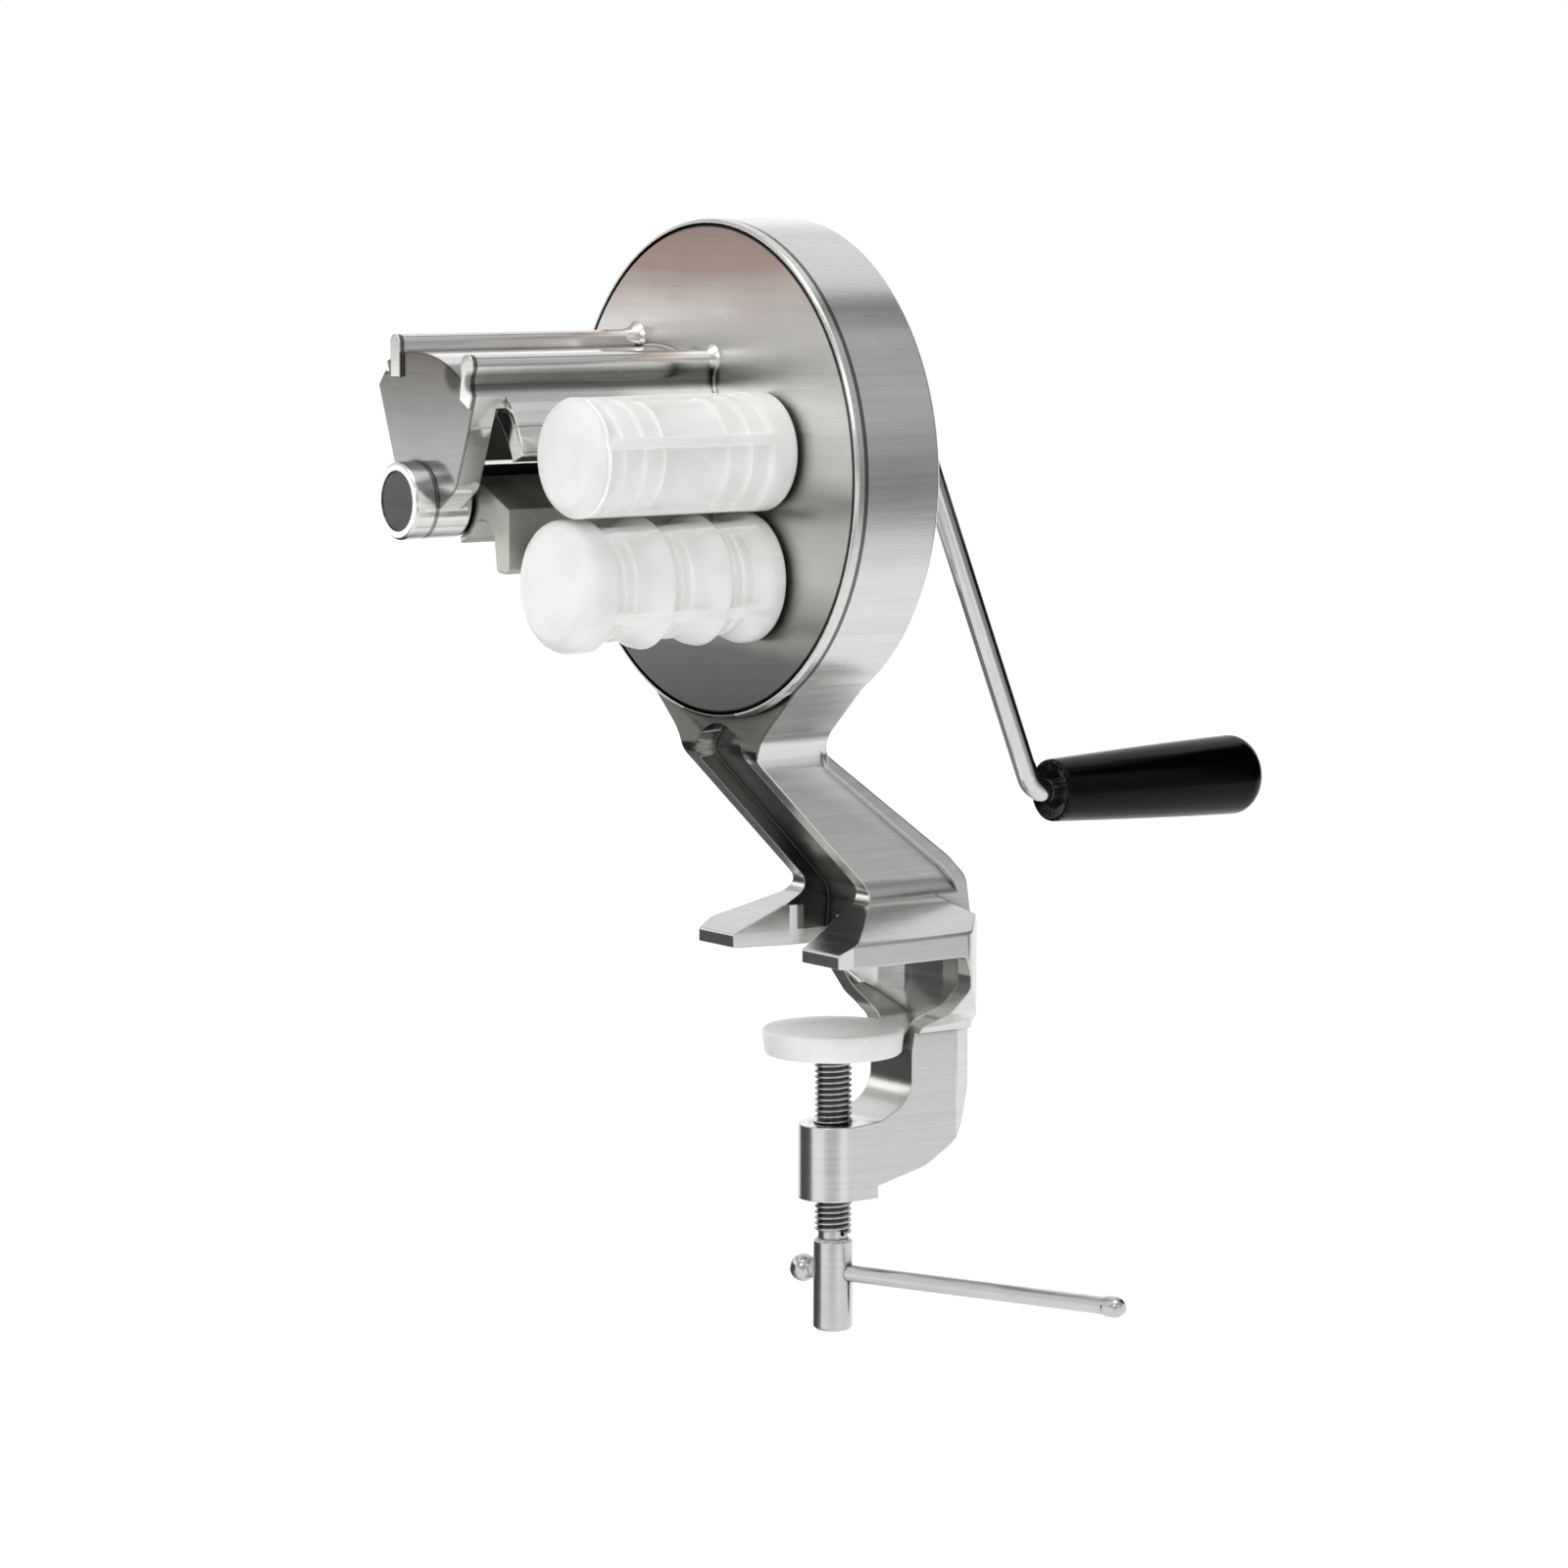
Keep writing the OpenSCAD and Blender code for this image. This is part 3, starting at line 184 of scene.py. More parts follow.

# %% [markdown]
# ## Ground metal
# The castings are aluminium that was ground with a belt, so fine scratches run in one direction on each
# face, over a softly uneven cast surface. A noise that is stretched many times along the grinding direction
# gives the scratches: it moves the roughness and a low bump. A second, unstretched noise gives the slow
# wavering of the cast skin. The Bevel node rounds the edges where the light falls on them, as a casting
# has no sharp edge, and shade is painted into the corners where ambient occlusion finds them.

# %% Ground metal
GRIT = 0.35 * MM           # width of one grinding scratch, drawn about twice as coarse as the real one
SCRATCH_RUN = 45           # how many times longer than wide a scratch is
SCRATCH_DEPTH = 0.02 * MM
SKIN_WAVE = 14 * MM        # from one slow wave of the cast skin to the next
SKIN_DEPTH = 0.6 * MM
# painted shade: these tones darken the metal where ambient occlusion finds a corner
CORNER_SHADE_TONES = [[0.25, "3c3b3a"], [0.55, "b8b8b7"], [0.85, "ffffff"]]    # share of open sky, tone of the metal


def ground_metal(name, light, dark, roughness, along, edge=0.6 * MM, scratch=0.35, cast=0.12, streak=0.5,
                 tone_with_painted_light=None, satin=None, corner_shade_reach=0.0):
    """Makes ground metal whose scratches run along the named axes, such as "X" or "XY".

    scratch and cast are the strengths of the two bumps, streak how much of the tone is in the scratches.
    tone_with_painted_light is a function of the tree and the place that gives a colour the metal is toned
    with, in which light and shade are painted.
    satin is the place of a plane across Y and how much rougher the metal is there.
    corner_shade_reach is how far from a corner the metal starts to get darker: shade painted in by ambient
    occlusion.
    """
    material, tree, output = new_material(name)
    place = add(tree, "TexCoord").outputs["Object"]
    stretch = [1 / GRIT / SCRATCH_RUN if axis in along else 1 / GRIT for axis in "XYZ"]
    lines = add(tree, "Mapping", {"Vector": place, "Scale": stretch})
    scratches = add(tree, "TexNoise", {"Vector": lines.outputs["Vector"], "Scale": 1.0, "Detail": 3.0,
                                       "Roughness": 0.6})
    bands = add(tree, "TexNoise", {"Vector": lines.outputs["Vector"], "Scale": 0.22, "Detail": 2.0})
    skin = add(tree, "TexNoise", {"Vector": place, "Scale": 1 / SKIN_WAVE, "Detail": 4.0, "Roughness": 0.55})
    fine = add(tree, "Mix", {"A": bands.outputs["Fac"], "B": scratches.outputs["Fac"], "Factor": 0.5},
               data_type="FLOAT")
    tone = add(tree, "Mix", {"A": skin.outputs["Fac"], "B": fine.outputs["Result"], "Factor": streak},
               data_type="FLOAT").outputs["Result"]
    colour = ramp_of(tree, tone, [[0.30, dark], [0.68, light]])
    # painted light: the tone paints reflections and shade into the colour
    if tone_with_painted_light:
        colour = times(tree, colour, tone_with_painted_light(tree, place))
    # painted shade: ambient occlusion darkens the colour in corners and creases
    if corner_shade_reach:
        corner = add(tree, "AmbientOcclusion", {"Distance": corner_shade_reach}, samples=6)
        colour = times(tree, colour, ramp_of(tree, corner.outputs["AO"], CORNER_SHADE_TONES))
    gloss = add(tree, "MapRange", {"Value": tone, "From Min": 0.25, "From Max": 0.75,
                                   "To Min": roughness * 0.75, "To Max": roughness * 1.3}).outputs["Result"]
    if satin:
        plane, rougher = satin
        across = add(tree, "SeparateXYZ", {0: place}).outputs["Y"]
        gloss = add(tree, "Math", {0: near(tree, across, plane), 1: rougher, 2: gloss},
                    operation="MULTIPLY_ADD").outputs["Value"]
    soft_edge = add(tree, "Bevel", {"Radius": edge}, samples=6)
    cast_bump = add(tree, "Bump", {"Height": skin.outputs["Fac"], "Strength": cast, "Distance": SKIN_DEPTH,
                                   "Normal": soft_edge.outputs["Normal"]})
    scratch_bump = add(tree, "Bump", {"Height": scratches.outputs["Fac"], "Strength": scratch,
                                      "Distance": SCRATCH_DEPTH, "Normal": cast_bump.outputs["Normal"]})
    metal = add(tree, "BsdfPrincipled", {"Base Color": colour, "Metallic": 1.0, "Roughness": gloss,
                                         "Normal": scratch_bump.outputs["Normal"]})
    tree.links.new(metal.outputs["BSDF"], output.inputs["Surface"])
    return material


print("scratches are", round(GRIT * SCRATCH_RUN / MM, 1), "mm long")

# %% [markdown]
# ## Painted light on the castings
# The two castings are not one even tone. The channel in the arm and the front of the neck get painted shade,
# a darker gray. The cover gets painted reflections: darker at its foot, a bright band, and a brownish gray at
# its top, and a dark seam runs round it. The hood's end wall and the narrow hollows beside the right rail get
# painted shade. Each tone is tied to the place of its face, so it stays sharp from near.

# %% Painted shade on the body
CHANNEL_HALF = 11.4 * MM                            # half the width of the arm's channel
CHANNEL_MIDDLE, CHANNEL_REACH = 35 * MM, 31 * MM    # its middle height, and how far it runs up and down
NECK_Y = -47 * MM                                   # front of the neck


def channel_painted_shade(tree, place):
    """Paints shade on the channel in the arm and the front of the neck, as a darker gray."""
    spot = add(tree, "SeparateXYZ", {0: place})
    inside = [near(tree, spot.outputs["X"], 0.0, CHANNEL_HALF),
              near(tree, spot.outputs["Z"], CHANNEL_MIDDLE, CHANNEL_REACH)]
    channel = add(tree, "Math", {0: inside[0], 1: inside[1]}, operation="MULTIPLY").outputs["Value"]
    # painted shade: the channel and the front of the neck are darkened
    tone = blend(tree, channel, paint("ffffff"), paint("999997"))
    return blend(tree, near(tree, spot.outputs["Y"], NECK_Y), tone, paint("868684"))


print("the channel is toned from", round((CHANNEL_MIDDLE - CHANNEL_REACH) / MM), "to",
      round((CHANNEL_MIDDLE + CHANNEL_REACH) / MM), "mm high")

# %% Seam and painted light on the cover
CASE_HEIGHT = 126.5 * MM                            # height of the case's axis
COVER_Y, END_WALL_Y = -50 * MM, -122 * MM           # outer faces of the cover and of the hood's end wall
TONE_WAVE, TONE_WAVE_LIFT = 30 * MM, 12 * MM              # size of the waves in the painted tones, and how far they shift a tone
# painted reflection by height in metres on the cover, painted shade by height on the end wall, and for the
# seam tones by distance from the case's axis
COVER_PAINTED_REFLECTION = [[0.066, "5c5c5c"], [0.086, "6a6a6a"], [0.095, "a8a8a6"], [0.106, "ececea"], [0.119, "f0f0ee"],
               [0.1265, "c2c2c0"], [0.134, "f0f0ee"], [0.150, "ffffff"], [0.171, "ffffff"], [0.184, "ccb9b2"],
               [0.200, "bca69e"]]
WALL_PAINTED_SHADE = [[0.120, "b0b1b0"], [0.136, "a0a3a3"], [0.150, "8f9190"], [0.163, "8a8784"]]
SEAM_TONES = [[0.060, "ffffff"], [0.0613, "ffffff"], [0.0617, "4a4a4a"], [0.064, "4a4a4a"]]
# painted shade in the hollow under the right rail and the valley beside it: x, z, and tones by distance from
# there in metres
HOLLOW_PAINTED_SHADES = [[2.6 * MM, 150.4 * MM,
            [[0.0, "8a8a89"], [0.0018, "929291"], [0.0032, "ffffff"], [0.004, "ffffff"]]],
           [-6.0 * MM, 152.5 * MM,
            [[0.0, "9a9a99"], [0.0036, "a2a2a1"], [0.0056, "ffffff"], [0.006, "ffffff"]]]]


def cover_seam_and_painted_light(tree, place):
    """Paints reflections on the cover and shade on the hood's end wall and the hollows beside the right rail,
    and tones the cover's seam.
    """
    spot = add(tree, "SeparateXYZ", {0: place})
    tone_wave = add(tree, "TexNoise", {"Vector": place, "Scale": 1 / TONE_WAVE, "Detail": 2.0})
    height = add(tree, "Math", {0: tone_wave.outputs["Fac"], 1: TONE_WAVE_LIFT, 2: spot.outputs["Z"]},
                 operation="MULTIPLY_ADD").outputs["Value"]
    # painted reflection on the cover, with its dark seam, and painted shade on the end wall
    seam = ramp_of(tree, from_line(tree, place, 0.0, CASE_HEIGHT), SEAM_TONES)
    cover = times(tree, ramp_of(tree, height, COVER_PAINTED_REFLECTION), seam)
    tone_with_painted_light = blend(tree, near(tree, spot.outputs["Y"], COVER_Y), paint("ffffff"), cover)
    tone_with_painted_light = blend(tree, near(tree, spot.outputs["Y"], END_WALL_Y), tone_with_painted_light, ramp_of(tree, height, WALL_PAINTED_SHADE))
    # painted shade in the hollow under the right rail and in the valley beside it
    for x, z, tones in HOLLOW_PAINTED_SHADES:
        tone_with_painted_light = times(tree, tone_with_painted_light, ramp_of(tree, from_line(tree, place, x, z), tones))
    return tone_with_painted_light


print("the cover has", len(COVER_PAINTED_REFLECTION), "tones from its foot to its top")

# %% [markdown]
# ## The castings
# The body is ground with a coarse belt and the front polished finer, with a satin cover. The guide block
# stays as it came out of the sand: rough, matt and a little yellow, with no scratches.

# %% Castings
# painted shade in the channel and the corners of the body; painted reflection and shade on the front casting
cast_body = ground_metal("belt_ground_cast_aluminium", "e2e2e0", "d3d3d1", 0.22, "XY", scratch=0.3,
                         streak=0.85, tone_with_painted_light=channel_painted_shade, corner_shade_reach=4 * MM)
cast_front = ground_metal("polished_cast_aluminium", "eeedeb", "dfdedc", 0.15, "XY", cast=0.08, streak=0.8,
                          tone_with_painted_light=cover_seam_and_painted_light, satin=(COVER_Y, 0.14), corner_shade_reach=2 * MM)
cast_guide = ground_metal("sand_cast_aluminium", "d2d1ca", "b2b1aa", 0.45, "Z", scratch=0.0, cast=0.5,
                          streak=0.0)
print("made:", cast_body.name, cast_front.name, cast_guide.name)

# %% [markdown]
# ## Plated and turned steel
# The crank rod, screw, head, bar and ball are bright plated steel: almost a mirror, so they live from what
# they reflect. Turning leaves fine rings round the axis. Shafts and gears are ground or cut and duller, the
# cutter is oxidised to a dark gray, and the bushes are yellow bronze.

# %% Steels and bronze
# the plated steels get shade painted into their corners
chrome_rod = ground_metal("bright_plated_steel", "dcdcdd", "cccdce", 0.11, "Z", scratch=0.05, cast=0.02,
                          corner_shade_reach=1.0 * MM)
screw_steel = ground_metal("turned_plated_steel", "d6d6d5", "c4c4c3", 0.18, "XY", scratch=0.25, cast=0.02,
                           edge=0.2 * MM, corner_shade_reach=1.2 * MM)
shaft_steel = ground_metal("ground_shaft_steel", "c4c4c4", "a9a9a8", 0.25, "X", scratch=0.2, cast=0.03)
gear_steel = ground_metal("cut_gear_steel", "b5b4b2", "93928f", 0.32, "Y", scratch=0.2, cast=0.05)
dark_steel = ground_metal("oxidised_steel", "5a5857", "3c3b3a", 0.34, "X", scratch=0.3, cast=0.1)
bronze = ground_metal("bearing_bronze", "c79a5b", "a87b40", 0.30, "Y", scratch=0.2, cast=0.05)
print("steels and bronze made")

# %% [markdown]
# ## White nylon
# The rollers and the pad are natural nylon: milky, slightly waxy, and light goes about a millimetre into it,
# so thin ribs glow at their edges. Subsurface scattering gives this, with a soft gloss and a faint tool
# pattern on top.

# %% Nylon
CLOUD = 9 * MM             # size of the paler and darker clouds in the nylon
TOOL_MARK = 1.1 * MM       # from one faint tool mark to the next
SCATTER = 0.8 * MM         # how deep light goes into it


def milky_nylon(name, dull, white):
    """Makes translucent white plastic that varies between two whites."""
    material, tree, output = new_material(name)
    place = add(tree, "TexCoord").outputs["Object"]
    cloud = add(tree, "TexNoise", {"Vector": place, "Scale": 1 / CLOUD, "Detail": 3.0})
    tint = ramp_of(tree, cloud.outputs["Fac"], [[0.35, dull], [0.65, white]])
    waxy = add(tree, "TexNoise", {"Vector": place, "Scale": 1 / TOOL_MARK, "Detail": 2.0})
    bump = add(tree, "Bump", {"Height": waxy.outputs["Fac"], "Strength": 0.10, "Distance": 0.05 * MM})
    plastic = add(tree, "BsdfPrincipled", {"Base Color": tint, "Roughness": 0.30, "IOR": 1.53,
                                           "Subsurface Weight": 0.8, "Subsurface Radius": (1.0, 1.0, 0.97),
                                           "Subsurface Scale": SCATTER, "Normal": bump.outputs["Normal"]},
                  subsurface_method="BURLEY")
    tree.links.new(plastic.outputs["BSDF"], output.inputs["Surface"])
    return material


nylon = milky_nylon("natural_white_nylon", "f4f5f2", "fcfdfb")
print("made:", nylon.name)

# %% [markdown]
# ## Black grip
# The grip is turned black plastic, polished. It is nearly black, with a clear gloss that shows the soft
# boxes as sharp streaks, so its roughness is low and only faintly uneven.

# %% Black plastic
SMEAR = 20 * MM            # size of the smears in the gloss
RING_STEP = 2.2 * MM       # from one turning ring to the next, drawn coarser than the real ones


def polished_black(name):
    """Makes polished black plastic with faint turning rings along its length."""
    material, tree, output = new_material(name)
    place = add(tree, "TexCoord").outputs["Object"]
    smear = add(tree, "TexNoise", {"Vector": place, "Scale": 1 / SMEAR, "Detail": 3.0})
    gloss = add(tree, "MapRange", {"Value": smear.outputs["Fac"], "To Min": 0.08, "To Max": 0.16})
    rings = add(tree, "TexWave", {"Vector": place, "Scale": 1 / RING_STEP, "Distortion": 0.6},
                bands_direction="Y")
    bump = add(tree, "Bump", {"Height": rings.outputs["Fac"], "Strength": 0.03, "Distance": 0.02 * MM})
    plastic = add(tree, "BsdfPrincipled", {"Base Color": paint("030303"), "IOR": 1.49,
                                           "Specular IOR Level": 0.16, "Roughness": gloss.outputs["Result"],
                                           "Normal": bump.outputs["Normal"]})
    tree.links.new(plastic.outputs["BSDF"], output.inputs["Surface"])
    return material


black_grip = polished_black("polished_black_plastic")
print("made:", black_grip.name)

# %% [markdown]
# ## Which finish goes where
# Every solid names a material slot in the record, so one table from slot to finish dresses them all. Only
# the cutter's two steel pieces are darker than the other shafts.

# %% Dress the solids
finishes = {"cast_body": cast_body, "cast_front": cast_front, "cast_guide": cast_guide, "bronze": bronze,
            "gear_steel": gear_steel, "shaft_steel": shaft_steel, "dark_steel": dark_steel, "nylon": nylon,
            "chrome_rod": chrome_rod, "screw_steel": screw_steel, "black_grip": black_grip}
slots = {part["node"]: part["material_slot"] for part in frame["record"]["subparts"]}
body_names = {node: body for body, members in frame["record"]["behaviour"]["bodies"].items()
              for node in members}
for name, node in nodes.items():
    node.data.materials.clear()
    node.data.materials.append(finishes[slots[name]])
for name in ("cutter_rotor", "cutter_axle"):
    nodes[name].data.materials[0] = dark_steel
print("dressed:", ", ".join(sorted(nodes)))

# %% [markdown]
# ## Working on one piece
# Operators act on all that is selected, and the solids come selected, so each step first picks its own piece.
# Weighted normals keep the large faces flat right up to their rounded edges, as on a real casting. Sweeps and
# blocks start from a few corners that are drawn in place.

# %% Helpers for pieces
SMOOTH_ANGLE = math.radians(28)
WELD = 0.001 * MM          # corners closer than this are one


def deselect_all():
    """Leaves object mode with nothing selected."""
    if bpy.context.object and bpy.context.object.mode != "OBJECT":
        bpy.ops.object.mode_set(mode="OBJECT")
    bpy.ops.object.select_all(action="DESELECT")


def pick(piece):
    """Makes one piece the only selected and the active one."""
    deselect_all()
    piece.select_set(True)
    bpy.context.view_layer.objects.active = piece


def edit(piece):
    """Opens one piece in edit mode with all of it selected."""
    pick(piece)
    bpy.ops.object.mode_set(mode="EDIT")
    bpy.ops.mesh.select_all(action="SELECT")


def drawn(name, corners, edges=(), faces=()):
    """Draws a new piece from corners, edges and faces, and picks it."""
    mesh = bpy.data.meshes.new(name)
    mesh.from_pydata(corners, edges, faces)
    piece = bpy.data.objects.new(name, mesh)
    bpy.context.scene.collection.objects.link(piece)
    pick(piece)
    return piece


def drawn_line(name, corners):
    """Draws an open line through corners, ready to be swept."""
    return drawn(name, corners, edges=[(i, i + 1) for i in range(len(corners) - 1)])


def shade(piece):
    """Shades the picked piece smoothly, with its large faces flat."""
    bpy.ops.object.shade_smooth_by_angle(angle=SMOOTH_ANGLE)
    weigh = piece.modifiers.new("weigh", "WEIGHTED_NORMAL")
    weigh.mode = "FACE_AREA"
    weigh.keep_sharp = True
    bpy.ops.object.modifier_apply(modifier="weigh")


def joined(pieces, name, material):
    """Joins pieces into one with a single finish."""
    pick(pieces[0])
    for piece in pieces[1:]:
        piece.select_set(True)
    bpy.ops.object.join()
    whole = bpy.context.object
    whole.name = name
    whole.data.materials.clear()
    whole.data.materials.append(material)
    return whole


print("edges over", round(math.degrees(SMOOTH_ANGLE)), "degrees stay sharp")

# %% [markdown]
# ## Smooth copies
# A solid comes as loose triangles, which shade flat. In a copy the corners are merged and the triangles of
# each flat facet joined, so that a round face turns evenly from facet to facet.

# %% Smooth copies
def smooth_copy(name):
    """Copies a solid, merges its corners and shades it smoothly."""
    copy = bpy.data.objects.new(name + "_dressed", nodes[name].data.copy())
    bpy.context.scene.collection.objects.link(copy)
    edit(copy)
    bpy.ops.mesh.remove_doubles(threshold=WELD)
    bpy.ops.mesh.dissolve_limited(angle_limit=math.radians(0.5))
    bpy.ops.object.mode_set(mode="OBJECT")
    shade(copy)
    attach(copy, body_names[name])
    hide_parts(name)
    return copy


modelled = ("clamp_screw", "upper_roller", "lower_roller")
dressed = {name: smooth_copy(name) for name in nodes if name not in modelled}
print(len(dressed), "smooth copies made")

# %% [markdown]
# ## Outlines of the rollers
# The two rollers are turned from nylon and grooved, with four bars left standing along them. The upper one
# has ribs like saw teeth on both sides of a plain middle, the lower one three lobes that end in sharp lips.
# Each is drawn as two outlines of (radius, y): one over a bar, and a deeper one between the bars.

# %% Outlines of the rollers
ROLLER_OUT, ROLLER_IN = -111.3 * MM, -51.3 * MM
ROLLER_LENGTH = ROLLER_IN - ROLLER_OUT
# the upper roller between its bars: shares of its length, each with its depth in mm
SAW_RIBS = [(0.045, 0), (0.131, 1.4), (0.136, 0.5), (0.236, 1.8), (0.241, 0.9), (0.337, 2.1), (0.342, 1.4),
            (0.365, 2.0), (0.650, 2.1), (0.655, 1.1), (0.761, 1.8), (0.766, 0.7), (0.863, 1.5), (0.868, 0)]
LIP_SHARES = [0.150, 0.430, 0.710]    # where a lobe of the lower roller ends in a sharp lip
# behind each lip, as mm along the axis and depth in mm: between the bars, and on a bar
BETWEEN_BARS = [(0.4, 2.0), (3.4, 3.0), (3.7, 2.1), (6.8, 3.0), (7.1, 2.2), (10.6, 2.7), (12.2, 1.9),
                (14.4, 0.6)]
ON_BAR = [(0.4, 1.2), (3.0, 0.7), (7.0, 0.5), (12.0, 0.3)]
LAST_GROOVE, LAST_SHARE = 13.0 * MM, 0.8    # length of the last groove, and how far its table is squeezed


def rounded_corner(before, corner, after, radius, steps=9):
    """Gives the points of an arc that rounds the corner between two straight runs of an outline."""
    here = Vector(corner)
    one, two = (Vector(before) - here).normalized(), (Vector(after) - here).normalized()
    half = one.angle(two) / 2
    centre = here + (one + two).normalized() * radius / math.sin(half)
    first, last = here + one * radius / math.tan(half), here + two * radius / math.tan(half)
    points = []
    for step in range(steps + 1):
        along = first.lerp(last, step / steps) - centre
        points.append(tuple(centre + along.normalized() * radius))
    return points


def upper_outlines(radius):
    """Gives the upper roller's outlines between its ends: on a bar, and between the bars."""
    ribs = [(radius - depth * MM, ROLLER_OUT + share * ROLLER_LENGTH) for share, depth in SAW_RIBS]
    return [ribs[0], ribs[-1]], ribs


def lower_outlines(radius):
    """Gives the lower roller's outlines between its ends: on a bar, and between the bars."""
    on_bar, between = [], []
    for share in LIP_SHARES:
        lip = ROLLER_OUT + share * ROLLER_LENGTH
        last = share == LIP_SHARES[-1]
        squeeze = LAST_SHARE if last else 1
        for outline, table in ((on_bar, ON_BAR), (between, BETWEEN_BARS)):
            outline.append((radius, lip))
            outline += [(radius - depth * MM, lip + along * MM * squeeze) for along, depth in table]
            if last:
                outline.append((radius, lip + LAST_GROOVE))
    return on_bar, between


print("rollers are", round(ROLLER_LENGTH / MM), "mm long, with", len(LIP_SHARES), "lips on the lower one")

# %% [markdown]
# ## Turning the rollers
# A Screw modifier sweeps an outline round the axis, through part of a turn. The sweeps over and between the
# bars are joined, the open sides of the bars are filled, and a Bevel modifier rounds every edge as a moulded
# part's are. Cutting the windows out of a plain cylinder would leave ragged edges where bars and ribs meet.

# %% Turning the rollers
BARS = 4
BAR_STEPS, BETWEEN_STEPS = 3, 23                     # steps of a sweep over a bar, and between two bars
OUTER_ROUNDING, INNER_ROUNDING = 4.2 * MM, 2 * MM    # roundings of the outer end and of the one at the cover
EDGE_ROUNDING = 0.10 * MM


def sector(outline, start, turn, steps):
    """Sweeps an outline round the Y axis through part of a turn."""
    piece = drawn_line("sector", [(r * math.cos(start), y, r * math.sin(start)) for r, y in outline])
    sweep = piece.modifiers.new("turn", "SCREW")
    sweep.axis = "Y"
    sweep.angle = -turn
    sweep.steps = sweep.render_steps = steps
    sweep.use_merge_vertices = False
    bpy.ops.object.modifier_apply(modifier="turn")
    return piece


def roller(name, dome, first_bar, bar_width, outlines):
    """Models one roller in the place of its solid.

    dome is how far its outer end bulges, first_bar the angle of a bar in degrees.
    """
    box_low, box_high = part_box(name)
    radius = (box_high[0] - box_low[0]) / 2
    tip, outer = (0.0, ROLLER_OUT - dome), (radius, ROLLER_OUT)
    inner, back = (radius, ROLLER_IN), (0.0, ROLLER_IN)
    start_run = [tip] + rounded_corner(tip, outer, inner, OUTER_ROUNDING)
    end_run = rounded_corner(outer, inner, back, INNER_ROUNDING) + [back]
    on_bar, between = (start_run + run + end_run for run in outlines(radius))
    bar_turn = 2 * math.asin(bar_width / 2 / radius)
    pieces = []
    for k in range(BARS):
        start = math.radians(first_bar) - bar_turn / 2 + 2 * math.pi * k / BARS
        pieces.append(sector(on_bar, start, bar_turn, BAR_STEPS))
        pieces.append(sector(between, start + bar_turn, 2 * math.pi / BARS - bar_turn, BETWEEN_STEPS))
    whole = joined(pieces, name + "_turned", nylon)
    edit(whole)
    bpy.ops.mesh.remove_doubles(threshold=4 * WELD)
    bpy.ops.mesh.select_all(action="SELECT")
    bpy.ops.mesh.fill_holes(sides=0)
    bpy.ops.mesh.select_all(action="SELECT")
    bpy.ops.mesh.normals_make_consistent(inside=False)
    bpy.ops.transform.translate(value=((box_high[0] + box_low[0]) / 2, 0, (box_high[2] + box_low[2]) / 2))
    bpy.ops.object.mode_set(mode="OBJECT")
    soften = whole.modifiers.new("soften", "BEVEL")
    soften.width = EDGE_ROUNDING
    soften.segments = 2
    soften.limit_method = "ANGLE"
    soften.angle_limit = math.radians(35)
    bpy.ops.object.modifier_apply(modifier="soften")
    bpy.ops.object.shade_smooth_by_angle(angle=math.radians(38))
    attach(whole, body_names[name])
    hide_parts(name)
    return whole


rollers = [roller("upper_roller", 0.9 * MM, 16, 2.8 * MM, upper_outlines),
           roller("lower_roller", 1.2 * MM, -29, 3.2 * MM, lower_outlines)]
for piece in rollers:
    print(piece.name, "has", len(piece.data.polygons), "faces, size in mm:",
          [round(side / MM, 2) for side in piece.dimensions])

# %% [markdown]
# ## Opening under the right rail
# The wall of the hood stops short of its end here, so that the rounded opening for the dough runs up to the
# rail. A block with one rounded edge is laid along the opening and cut away with a Boolean. Its left side
# leans as the side of the end wall does.

# %% Opening under the right rail
ROUNDING = 4 * MM
SKIRT_END, OPENING_LOW, OPENING_TOP = -112 * MM, 139 * MM, 148.2 * MM
OPENING_OUT, OPENING_RIGHT = -130 * MM, 20 * MM    # both well clear of the hood
WALL_LEAN = 0.38                                   # how far the wall's side leans for each step up


def opening_block():
    """Makes the block that is cut away: an outline in Y and Z, run across from the leaning side."""
    outline = [(OPENING_OUT, OPENING_LOW), (SKIRT_END, OPENING_LOW)]
    for degrees in range(0, 91, 15):
        turn = math.radians(degrees)
        outline.append((SKIRT_END - ROUNDING + ROUNDING * math.cos(turn),
                        OPENING_TOP - ROUNDING + ROUNDING * math.sin(turn)))
    outline.append((OPENING_OUT, OPENING_TOP))
    count = len(outline)
    left_side = [((z - OPENING_LOW) * WALL_LEAN, y, z) for y, z in outline]
    right_side = [(OPENING_RIGHT, y, z) for y, z in outline]
    faces = [tuple(range(count)), tuple(reversed(range(count, 2 * count)))]
    faces += [(i, count + i, count + (i + 1) % count, (i + 1) % count) for i in range(count)]
    block = drawn("opening_block", left_side + right_side, faces=faces)
    edit(block)
    bpy.ops.mesh.normals_make_consistent(inside=False)
    bpy.ops.object.mode_set(mode="OBJECT")
    return block


def cut_away(piece, block):
    """Cuts a block out of a piece and removes the block."""
    pick(piece)
    cut = piece.modifiers.new("cut", "BOOLEAN")
    cut.object = block
    cut.operation = "DIFFERENCE"
    bpy.ops.object.modifier_apply(modifier="cut")
    bpy.data.objects.remove(block)


front = dressed["front_casting"]
faces_before = len(front.data.polygons)
cut_away(front, opening_block())
shade(front)
print("front casting:", faces_before, "faces before the cut,", len(front.data.polygons), "after")

# %% [markdown]
# ## Clamp screw
# The solid for the screw is plain. The real one has a rolled thread with a pitch of 1.5 mm. One edge in the
# shape of a thread tooth is swept round the axis by a Screw modifier, which climbs one pitch a turn. The
# thread runs inside the plain solid's own radius, round a core, and a pin carries the pad.

